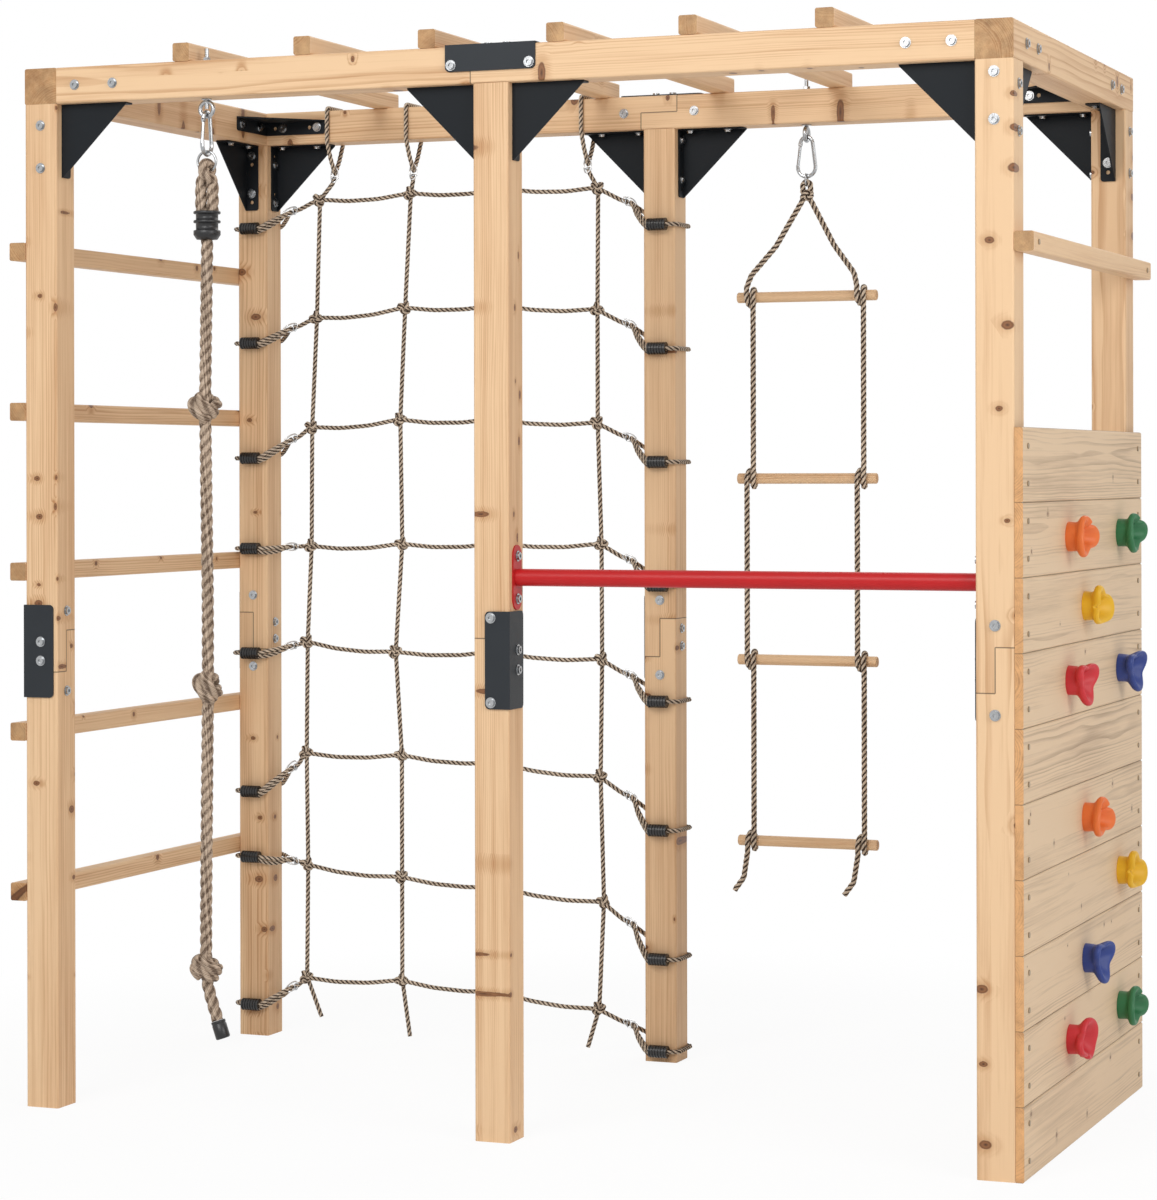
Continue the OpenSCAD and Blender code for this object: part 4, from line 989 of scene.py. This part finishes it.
@dataclass
class RopeLadder:
    """The rope ladder's ropes, which turn once round each rung."""

    x: float = 1297.0
    y: float = 935.0
    radius: float = 6.0
    gap: float = 238.0
    first: float = 355.0
    pitch: float = 376.0
    rungs: int = 4
    rung_radius: float = 11.0
    knot_z: float = 1803.6
    knot_radius: float = 14.0
    link_low: float = 1823.6
    tail: float = 105.0
    shift: float = 14.0
    lay: Lay = Lay(3, 38.0, 0.3)

    def rung_z(self, i: int) -> float:
        """Height of a rung, counted from the top."""
        return Site.UNDER - self.first - i * self.pitch

    def side_route(self, side: int) -> np.ndarray:
        """One side rope from the top knot to its tail.

        Args:
            side: -1 for the left rope and 1 for the right one.

        Returns:
            The route in millimetres.
        """
        r = self.rung_radius + 0.3 + self.radius
        s, inner = self.shift, side * 7
        x = side * self.gap / 2
        upper = x - s / 2
        line = [(inner, 0, self.knot_z - self.knot_radius / 2),
                ((inner + upper) / 2, -2, (self.knot_z + self.rung_z(0)) / 2),
                (upper - side * 8, -8, self.rung_z(0) + 46)]
        a = np.radians(np.linspace(0, 360, 33))
        for i in range(self.rungs):
            step = s if i % 2 == 0 else -s
            start, z = x - step / 2, self.rung_z(i)
            turn = columns(start + step * a / (2 * math.pi), -r * np.cos(a), z - r * np.sin(a))
            line += [(start, 1.5 - r, z + 20), *turn, (start + step, 1.5 - r, z - 20)]
        low = self.rung_z(self.rungs - 1)
        line += [(upper - 14, 0, low - 78), (upper - 34, 0, low - self.tail)]
        return relaxed(np.array(line) + [self.x, self.y, 0], 2.0, 5)

    def top_turn(self) -> np.ndarray:
        """The turn over the link, out of the top knot and back into it.

        Returns:
            The route in millimetres.
        """
        r = self.radius + 2.3
        a = np.radians(np.linspace(0, 180, 20))
        over = columns(r * np.cos(a), 0, self.link_low + r * np.sin(a))
        low = self.knot_z + self.knot_radius / 2
        line = np.vstack([[(r, 0, low)], over, [(-r, 0, low)]])
        return relaxed(line + [self.x, self.y, 0], 1.5, 3)

    def top_knot(self) -> Surface:
        """The knot under the link: the rope laid twice round in a closed, crossing turn.

        Returns:
            The knot in its place.
        """
        a = np.linspace(0, 2 * math.pi, 120, endpoint=False)
        r = 8.2 + 1.6 * np.cos(3 * a)
        line = columns(r * np.cos(2 * a), 0.75 * r * np.sin(2 * a), 7.0 * np.sin(3 * a))
        ring = tube(line, self.radius * 0.95, (0.1, 0.15, 1), 16, closed=True, lay=self.lay)
        return ring.moved((self.x, self.y, self.knot_z))

    def build(self, rope: Material) -> None:
        """Makes the ropes.

        Args:
            rope: Their finish.
        """
        parts = [tube(self.side_route(side), self.radius, (1, 0.1, 0.05), 18, lay=self.lay)
                 for side in (-1, 1)]
        parts.append(tube(self.top_turn(), self.radius, (0, 1, 0), 18, lay=self.lay))
        parts.append(self.top_knot())
        Surface.join(parts).piece(
            "ladder_side_ropes", rope, "rope_ladder", "ladder_rope_fibre", "ladder_ropes")


@dataclass
class ClimbingNet:
    """The climbing net: knotted ropes, straps round the posts and loops round the beam."""

    radius: float = 5.0
    y: float = 935.0
    reach: float = 34.0
    sag: float = 9.0
    sleeve: float = 13.0
    lay: Lay = Lay(3, 34.0, 0.3)
    knots: tuple = (
        ((180, 1830), (172, 1572), (160, 1333), (158, 1073),
         (148, 864), (145, 620), (148, 376), (145, 128)),
        ((398, 1837), (384, 1590), (372, 1348), (376, 1079),
         (360, 845), (374, 622), (374, 358), (374, 134)),
        ((616, 1840), (606, 1592), (598, 1348), (606, 1082),
         (600, 850), (606, 612), (608, 346), (604, 122)),
        ((833, 1835), (831, 1578), (831, 1338), (839, 1082),
         (840, 838), (836, 590), (843, 325), (832, 98)),
    )
    tails: tuple = ((180, 42), (392, 12), (598, 30), (806, 14))
    loop_x: tuple = (219, 407, 625, 812)
    join_z: float = 1892.0
    strap_z: tuple = (
        (1768, 1517, 1265, 1067, 838, 535, 392, 69),
        (1750, 1491, 1254, 996, 754, 485, 216, 24),
    )
    wider: dict = field(default_factory=lambda: {(0, 4): 3.0})
    clear: float = 0.3
    stretch: float = 8.0

    @property
    def tip(self) -> float:
        """From the place where a loop closes to its end."""
        return 1.8 * self.radius

    @property
    def start(self) -> float:
        """From a loop's end to the rope that it holds."""
        return self.radius * math.cos(math.pi / 6) + self.clear

    @property
    def straps(self) -> list[tuple[int, int]]:
        """Side and number of every strap."""
        return [(side, i) for side, row in enumerate(self.strap_z) for i in range(len(row))]

    def loop(self, off: float, reach: float, bulge: float) -> np.ndarray:
        """A rope loop round a square timber.

        Args:
            off: From the timber's faces to the rope's middle.
            reach: From the timber to where the loop closes.
            bulge: How much further off the front stands, for a sleeve.

        Returns:
            Points as [across, along the next side].
        """
        t, h, r = Site.TIMBER, Site.HALF, 3.0
        gap, near = self.radius + 0.4, t * 0.2 if bulge > 0 else r - off
        return np.array([
            (t + reach, h - gap), (t + reach * 0.6, h - 22), (t + 2, -off + 2),
            (t - (near if bulge > 0 else r), -off - bulge), (near, -off - bulge),
            (-off, -off + r), (-off, t + off - r), (r - off, t + off), (t - r, t + off),
            (t + 2, t + off - 2), (t + reach * 0.6, h + 22), (t + reach, h + gap),
            (t + reach + self.tip, h)])

    def strap_loop(self, side: int, i: int) -> np.ndarray:
        """A strap's loop round its post, flat."""
        off = self.radius + self.clear + self.wider.get((side, i), 0.0)
        return self.loop(off, self.reach, self.sleeve + self.clear - off)

    def join(self, side: int, i: int) -> tuple[float, float]:
        """Where a strap closes, as (distance from the left end, height)."""
        z, knot = self.strap_z[side][i], self.knots[3 * side][i]
        out = self.reach + self.tip
        return (Site.POST_X[1] - out if side else Site.TIMBER + out), z + (knot[1] - z) * 0.62

    def raised(self, side: int, i: int, flat: np.ndarray, drop: Union[float, np.ndarray] = 0.0
               ) -> np.ndarray:
        """A strap's line on its post, climbing from its sleeve to where it closes.

        Args:
            side: 0 for the left post and 1 for the middle one.
            i: The strap's number from the top.
            flat: The flat line.
            drop: How far its points hang below that.

        Returns:
            The line in millimetres.
        """
        z, t = self.strap_z[side][i], Site.TIMBER
        rise = np.maximum(0, flat[:, 0] - 0.8 * t) / (0.2 * t + self.reach + self.tip)
        x = Site.POST_X[1] + t - flat[:, 0] if side else flat[:, 0]
        height = z + (self.join(side, i)[1] - z) * rise - drop
        return columns(x, Site.BACK_Y + flat[:, 1], height)

    def strap_route(self, side: int, i: int) -> np.ndarray:
        """A strap round a post, from its sleeve up or down to the net."""
        return relaxed(self.raised(side, i, self.strap_loop(side, i)), 2.5, 3, closed=True)

    def second_leg(self, side: int, i: int) -> np.ndarray:
        """The strap's second leg on the front: from the sleeve to the tip, below the first.

        Args:
            side: 0 for the left post and 1 for the middle one.
            i: The strap's number from the top.

        Returns:
            The route in millimetres.
        """
        flat = self.strap_loop(side, i)
        flat = np.vstack([[(0.62 * Site.TIMBER, flat[3, 1])], flat[3:None:-1]])
        drop = 10.5 * np.sin(math.pi * np.linspace(0, 1, len(flat))) ** 0.7
        return relaxed(self.raised(side, i, flat, drop), 3.0, 4)

    def beam_route(self, x: float) -> np.ndarray:
        """A loop round the back beam."""
        down, out = self.loop(self.radius + self.clear, Site.UNDER - self.join_z, 0).T
        line = columns(x, Site.BACK_Y + out, Site.TOP - down)
        return relaxed(line, 2.5, 3, closed=True)

    def upright_route(self, i: int) -> np.ndarray:
        """An upright rope from its beam loop to its tail.

        Args:
            i: Its number from the left.

        Returns:
            The route in millimetres.
        """
        top = self.join_z - self.tip - self.start
        line = [(self.loop_x[i], self.y, top), (self.loop_x[i], self.y, top - self.stretch)]
        line += [(x, self.y + self.radius, z) for x, z in (*self.knots[i], self.tails[i])]
        return relaxed(line, 4.0, 12)

    def cross_route(self, i: int) -> np.ndarray:
        """A level rope from one post's strap to the other's, sagging between its knots.

        Args:
            i: Its number from the top.

        Returns:
            The route in millimetres.
        """
        (ax, az), (bx, bz) = self.join(0, i), self.join(1, i)
        ax, bx = ax + self.start, bx - self.start
        front = self.y - self.radius
        at = [column[i] for column in self.knots]
        line = [(ax, self.y, az), (ax + self.stretch, self.y, az), (at[0][0], front, at[0][1])]
        for (x0, z0), (x1, z1) in zip(at, at[1:]):
            for share in (1 / 3, 2 / 3, 1.0):
                low = 4 * share * (1 - share) * self.sag
                line.append((x0 + (x1 - x0) * share, front, z0 + (z1 - z0) * share - low))
        line += [(bx - self.stretch, self.y, bz), (bx, self.y, bz)]
        return relaxed(line, 4.0, 12)

    def knot(self) -> Surface:
        """A small three-lobed knot of the same rope, about its own middle.

        Returns:
            The knot.
        """
        a = np.linspace(0, 2 * math.pi, 72, endpoint=False)
        size, weave = 3.9, 6.6
        x = size * (np.sin(a) + 2 * np.sin(2 * a))
        z = size * (np.cos(a) - 2 * np.cos(2 * a))
        line = columns(x, -weave * np.sin(3 * a), z)
        return tube(line, self.radius, (0.05, 1, 0.08), 12, closed=True, lay=self.lay)

    def bail(self, place: Sequence[float], slope: float) -> Surface:
        """A thin wire wound once round a loop's end.

        It is a long oval in the net's plane that also winds to and fro across it.

        Args:
            place: Its middle, as (distance from the left end, height).
            slope: The angle of its long axis, in radians.

        Returns:
            The wire.
        """
        a = np.linspace(0, 2 * math.pi, 40, endpoint=False)
        half_length, half_width, wire = 17.0, 8.0, 1.5
        along, across = half_length * np.cos(a), half_width * np.sin(a)
        x = place[0] + along * math.cos(slope) - across * math.sin(slope)
        z = place[1] + along * math.sin(slope) + across * math.cos(slope)
        y = self.y - 6.5 + 4.0 * np.sin(a) ** 2 + 1.6 * np.cos(a)
        return tube(columns(x, y, z), wire, (0, 1, 0.1), 10, closed=True)

    def bails(self) -> Surface:
        """The wires at all straps and beam loops.

        Returns:
            One surface of them all.
        """
        made = []
        for side, i in self.straps:
            (x, z), knot = self.join(side, i), self.knots[3 * side][i]
            made.append(self.bail((x, z), math.atan2(knot[1] - z, knot[0] - x)))
        made += [self.bail((x, self.join_z - self.tip), math.pi / 2) for x in self.loop_x]
        return Surface.join(made)

    def build(self, rope: Material, plastic: Material, wire: Material) -> None:
        """Makes the net.

        Args:
            rope: The ropes' finish.
            plastic: The sleeves' finish.
            wire: The finish of the wires.
        """
        r, lay, upwards = self.radius, self.lay, (0, 0.05, 1)
        ropes = [tube(self.upright_route(i), r, (0, 1, 0), 12, lay=lay) for i in range(4)]
        ropes += [tube(self.cross_route(i), r, (0, 0, 1), 12, lay=lay) for i in range(8)]
        one = self.knot()
        for column, marks in enumerate(self.knots):
            for row, (x, z) in enumerate(marks):
                ropes.append(one.moved((x, self.y, z), turned("Y", 40 * column + 55 * row)))
        Surface.join(ropes).piece("net_lines", rope, "frame", "net_rope_fibre", "net_ropes")
        straps = [tube(self.strap_route(*at), r, upwards, 12, True, lay) for at in self.straps]
        straps += [tube(self.second_leg(*at), r * 0.92, upwards, 12, lay=lay)
                   for at in self.straps]
        straps += [tube(self.beam_route(x), r, (1, 0, 0), 12, True, lay) for x in self.loop_x]
        Surface.join(straps).piece(
            "net_post_straps", rope, "frame", "net_rope_fibre", "net_straps")
        dress(plastic, "net_sleeves")
        self.bails().piece("net_wires", wire, "frame", "zinc_links")


class HoldForm(Enum):
    """The families of holds: their rims' cosines as (share, times round, start in degrees)."""

    LOBED = ((0.15, 3, 30), (0.09, 2, -50), (0.06, 4, 20))
    PRONGED = ((0.24, 3, -90), (0.06, 1, 60))


@dataclass
class Holds:
    """The ten cast holds: a round foot that flares into a lobed, dished head."""

    out: float = 44.0
    foot: float = 27.0
    rim: float = 36.0
    columns: tuple[float, ...] = (340.0, 470.0, 762.0)
    spots: tuple = (
        (0, 8, HoldForm.LOBED, "orange", 0), (1, 4, HoldForm.LOBED, "orange", -12),
        (2, 8, HoldForm.LOBED, "green", 8), (2, 1, HoldForm.LOBED, "green", -4),
        (1, 7, HoldForm.LOBED, "yellow", 130), (2, 3, HoldForm.LOBED, "yellow", 126),
        (0, 6, HoldForm.PRONGED, "red", 0), (0, 1, HoldForm.LOBED, "red", 200),
        (2, 6, HoldForm.PRONGED, "blue", 6), (1, 2, HoldForm.PRONGED, "blue", 0),
    )

    def outline(self, form: HoldForm, a: np.ndarray) -> np.ndarray:
        """The rim's distance from the middle, as a share: a few cosines of the angle."""
        return 1 + sum(share * np.cos(times * a + math.radians(start))
                       for share, times, start in form.value)

    def lean(self, form: HoldForm, a: np.ndarray) -> np.ndarray:
        """How far the rim stands out on its way round, from 0 to 1."""
        times, start = (2, -40) if form is HoldForm.LOBED else (3, -90)
        return 0.5 + 0.5 * np.cos(times * a + math.radians(start))

    def hold(self, form: HoldForm, degrees: float) -> Surface:
        """One hold, standing out along x.

        The profile's rings give radius, distance from the wall and how much of the outline and
        of the lean they take; they are resampled and eased before the grid is made. A lobed
        head also has a narrow slot from its dish out over the rim, pressed in as a bell curve.
        At last the head is sheared outwards towards the back of the frame.

        Args:
            form: Its family.
            degrees: Its turn about its own axis.

        Returns:
            The hold.
        """
        o, f, r = self.out, self.foot, self.rim
        profile = np.array([
            (f, 0, 0, 0), (f, 0.1 * o, 0, 0), (f - 0.6, 0.36 * o, 0.08, 0), (f, 0.42 * o, 0.3, 0),
            (r * 0.92, 0.58 * o, 1, 0.1), (r, 0.68 * o, 1, 0.12), (r * 0.99, 0.82 * o, 1, 0.12),
            (r * 0.9, 0.885 * o, 1, 0.12), (r * 0.74, 0.83 * o, 0.95, 0.1),
            (r * 0.56, 0.66 * o, 0.8, 0.05), (r * 0.42, 0.55 * o, 0.4, 0), (12.2, 0.51 * o, 0, 0),
            (11, 0.49 * o, 0, 0), (11, 0.32 * o, 0, 0),
        ])
        head = smoothed(respaced(profile, run_of(profile[:, :2]), 70), 5)
        radius, out, shaped, leaning = np.hsplit(
            np.vstack([head, (4.3, 0.32 * o, 0, 0), (4.3, 0, 0, 0)]), 4)
        a = 2 * math.pi * np.arange(96) / 96
        radius = radius * (1 + shaped * (self.outline(form, a) - 1))
        x = out + leaning * o * self.lean(form, a)
        y, z = radius * np.cos(a), radius * np.sin(a)
        if form is HoldForm.LOBED:
            slot_way, slot_start, slot_depth, slot_width = 0.9, 6.0, 9.0, 3.6
            cos, sin = math.cos(slot_way), math.sin(slot_way)
            reach = np.clip((y * cos + z * sin - slot_start) / 10, 0, 1)
            reach = reach * np.clip((x - 0.5 * o) / (0.2 * o), 0, 1)
            x = x - slot_depth * reach * np.exp(-(((z * cos - y * sin) / slot_width) ** 2))
        made = Surface.rings(x, y, z).moved((0, 0, 0), turned("X", degrees))
        shear, back = 6.5, 1.5
        share = np.clip((made.points[:, 0] - 0.4 * o) / (0.3 * o), 0, 1)
        made.points[:, 0] += share * (shear * made.points[:, 1] / r - back)
        return made

    def build(self, finishes: dict[str, Material]) -> None:
        """Makes each colour's holds.

        Args:
            finishes: A finish for each colour's name.
        """
        face = Site.LENGTH + 15
        for paint, finish in finishes.items():
            made = [
                self.hold(form, degrees).moved(
                    (face, self.columns[column], (plank + 0.5) * Site.PLANK))
                for column, plank, form, colour, degrees in self.spots if colour == paint]
            Surface.join(made).piece(
                f"cast_holds_{paint}", finish, "frame", f"hold_{paint}", f"holds_{paint}")


@dataclass
class Timberwork:
    """Finishes of posts, beams, rungs, bars and planks."""

    tongues: dict[tuple[str, str], tuple[int, float]] = field(default_factory=lambda: {
        ("front", "left"): (1, 1.0), ("front", "middle"): (0, -1.0), ("front", "right"): (0, 1.0),
        ("back", "left"): (0, -1.0), ("back", "middle"): (0, 1.0), ("back", "right"): (0, 1.0),
    })
    piths: tuple = ((0.06, 0.045), (-0.05, 0.06), (0.045, -0.07), (-0.07, -0.04), (0.08, 0.01),
                    (0.01, 0.075))
    seed: float = 0.0

    def timber(self, name: str, grain: Grain, middle: Sequence[float], seed: float,
               **looks: Union[float, tuple]) -> None:
        """Dresses a wooden node in a finish of its own.

        Args:
            name: The node.
            grain: The axis of its fibres.
            middle: A point of its middle line, in site millimetres.
            seed: The number that its figure comes from.
            **looks: Other fields of its finish.
        """
        centre = [float(c) for c in Site.place(middle)]
        del centre[grain.value]
        dress(SpruceFinish(f"spruce_{name}", grain, tuple(centre), seed, **looks).build(), name)

    def posts(self) -> None:
        """The twelve post halves."""
        step = 2.13
        for (row, column), tongue in self.tongues.items():
            x = Site.POST_X[("left", "middle", "right").index(column)]
            y = Site.BACK_Y if row == "back" else 0.0
            for half in ("lower", "upper"):
                self.seed += step
                number = int(self.seed / step)  # rounding gives the fifth and sixth one number
                self.timber(
                    f"{row}_{column}_post_{half}", Grain.Z, (x + Site.HALF, y + Site.HALF, 0),
                    self.seed, pith=self.piths[number % 6], tone=0.42 + 0.05 * (number * 7 % 5),
                    lap=(*tongue, Site.LAP / 1000))

    def beams(self) -> None:
        """The six beams."""
        z = Site.TOP - Site.HALF
        front, back = (0, Site.HALF, z), (0, Site.BACK_Y + Site.HALF, z)
        lap_x = float(Site.place((Site.MIDDLE, 0, 0))[0])
        for number, (name, grain, middle, tone) in enumerate((
            # The left beam's tone of 0.72, darker than the other beams', is painted shade for its
            # shaded inner side.
            ("left_beam", Grain.Y, (Site.HALF, 0, z), 0.72),
            ("right_beam", Grain.Y, (Site.LENGTH - Site.HALF, 0, z), 0.48),
            ("front_beam_left", Grain.X, front, 0.52), ("front_beam_right", Grain.X, front, 0.44),
            ("back_beam_left", Grain.X, back, 0.48), ("back_beam_right", Grain.X, back, 0.52),
        )):
            self.seed += 2.31
            self.timber(name, grain, middle, self.seed, pith=self.piths[(number + 2) % 6],
                        tone=tone, lap=(1, float(number > 1), lap_x))

    def build(self) -> None:
        """Gives every wooden node its own finish."""
        self.posts()
        self.beams()
        few = 0.2
        for i, pith in enumerate(self.piths):
            self.seed += 1.91
            middle = (Site.MIDDLE + (i - 2.5) * 257, 0, Site.TOP + Site.BAR / 2)
            self.timber(f"monkey_rung_{i + 1}", Grain.Y, middle, self.seed, pith=pith,
                        knot_share=few, tone=0.5 + 0.05 * (i % 3))
        self.timber("wall_bars", Grain.Y, (-17.5, 0, 417), 61.3, period=(0.0, 0.312),
                    knot_share=few, tone=0.55)
        self.timber("high_bar", Grain.Y, (1987.5, 0, 1632), 67.9, knot_share=few, tone=0.5)
        self.timber("wall_planks", Grain.Y, (1977.5, 0, Site.PLANK / 2), 73.7,
                    pith=(-0.045, 0.02), period=(0.0, Site.PLANK / 1000), ring=0.0044,
                    knot_share=0.12, knot_size=0.04, bend=0.018, tone=0.44,
                    light=(0.765, 0.565, 0.37), dark=(0.36, 0.235, 0.14), end_dark=0.9,
                    end_tint=(1.0, 0.74, 0.5), edge=0.0640)
        self.timber("ladder_rungs", Grain.X, (0, 935, 1595), 81.1, period=(0.0, 0.376),
                    knot_share=0.1, tone=0.45, end_dark=0.8)


@dataclass
class Hardware:
    """Finishes of brackets, plates, bolts and links."""

    def build(self) -> None:
        """Dresses the steel parts."""
        dress(CoatFinish("anthracite_brackets", (0.010, 0.0125, 0.0155), 0.5, 1500, 0.12, 0.2,
                         specular=0.14).build(),
              "long_beam_brackets", "side_beam_brackets", "top_corner_brackets")
        dress(CoatFinish("anthracite_plates", (0.026, 0.030, 0.035), 0.46, 1500, 0.12, 0.2,
                         specular=0.2).build(), "post_joint_plates", "beam_joint_plates")
        dress(CoatFinish("red_coat", (0.50, 0.014, 0.016), 0.36, 900, 0.06, 0.12, coat=0.03,
                         specular=0.22).build(), "turning_bar")
        dress(ZincFinish("zinc_fasteners").build(),
              "through_bolts", "bolt_nuts", "coach_screws", "eye_bolts")
        dress(ZincFinish("yellow_screws", (0.40, 0.31, 0.21), 0.48).build(), "wood_screws")
        dress(ZincFinish("zinc_links", rough=0.22).build(), "rope_carabiner_gate",
              "ladder_carabiner_gate", "rope_ring", "ladder_link", "net_clips",
              "rope_carabiner", "ladder_carabiner")


def main() -> None:
    """Builds the camera, the cords, the other pieces and the finishes."""
    Studio().build()
    rope, ladder, net = ClimbingRope(), RopeLadder(), ClimbingNet()
    # 0.42 weighs the painted shade in the grooves and 0.5 the painted shade between yarns.
    rope.build(RopeFinish("climbing_rope_fibre", rope.lay, 0.42, 0.5).build(),
               CoatFinish("black_plastic", (0.012, 0.012, 0.013), 0.38, 700, 0.08, 0.15).build())
    # groove weighs the painted shade in the grooves between strands.
    thin = {"groove": 0.95, "light": (0.80, 0.66, 0.51), "dark": (0.04, 0.022, 0.014)}
    ladder.build(RopeFinish("ladder_rope_fibre", ladder.lay, **thin).build())
    net.build(RopeFinish("net_rope_fibre", net.lay, **thin).build(),
              CoatFinish("sleeve_plastic", (0.014, 0.013, 0.013), 0.27, 700, 0.05, 0.15,
                         specular=0.6).build(),
              ZincFinish("zinc_wire", (0.62, 0.62, 0.62), 0.2).build())
    paints = {"orange": (0.84, 0.17, 0.03), "green": (0.02, 0.16, 0.055),
              "yellow": (0.86, 0.46, 0.01), "red": (0.60, 0.02, 0.03),
              "blue": (0.018, 0.045, 0.24)}
    Holds().build({name: CoatFinish(f"cast_{name}", colour, 0.45, 1100, 0.25, 0.12).build()
                   for name, colour in paints.items()})
    Timberwork().build()
    Hardware().build()


if __name__ == "__main__":
    main()
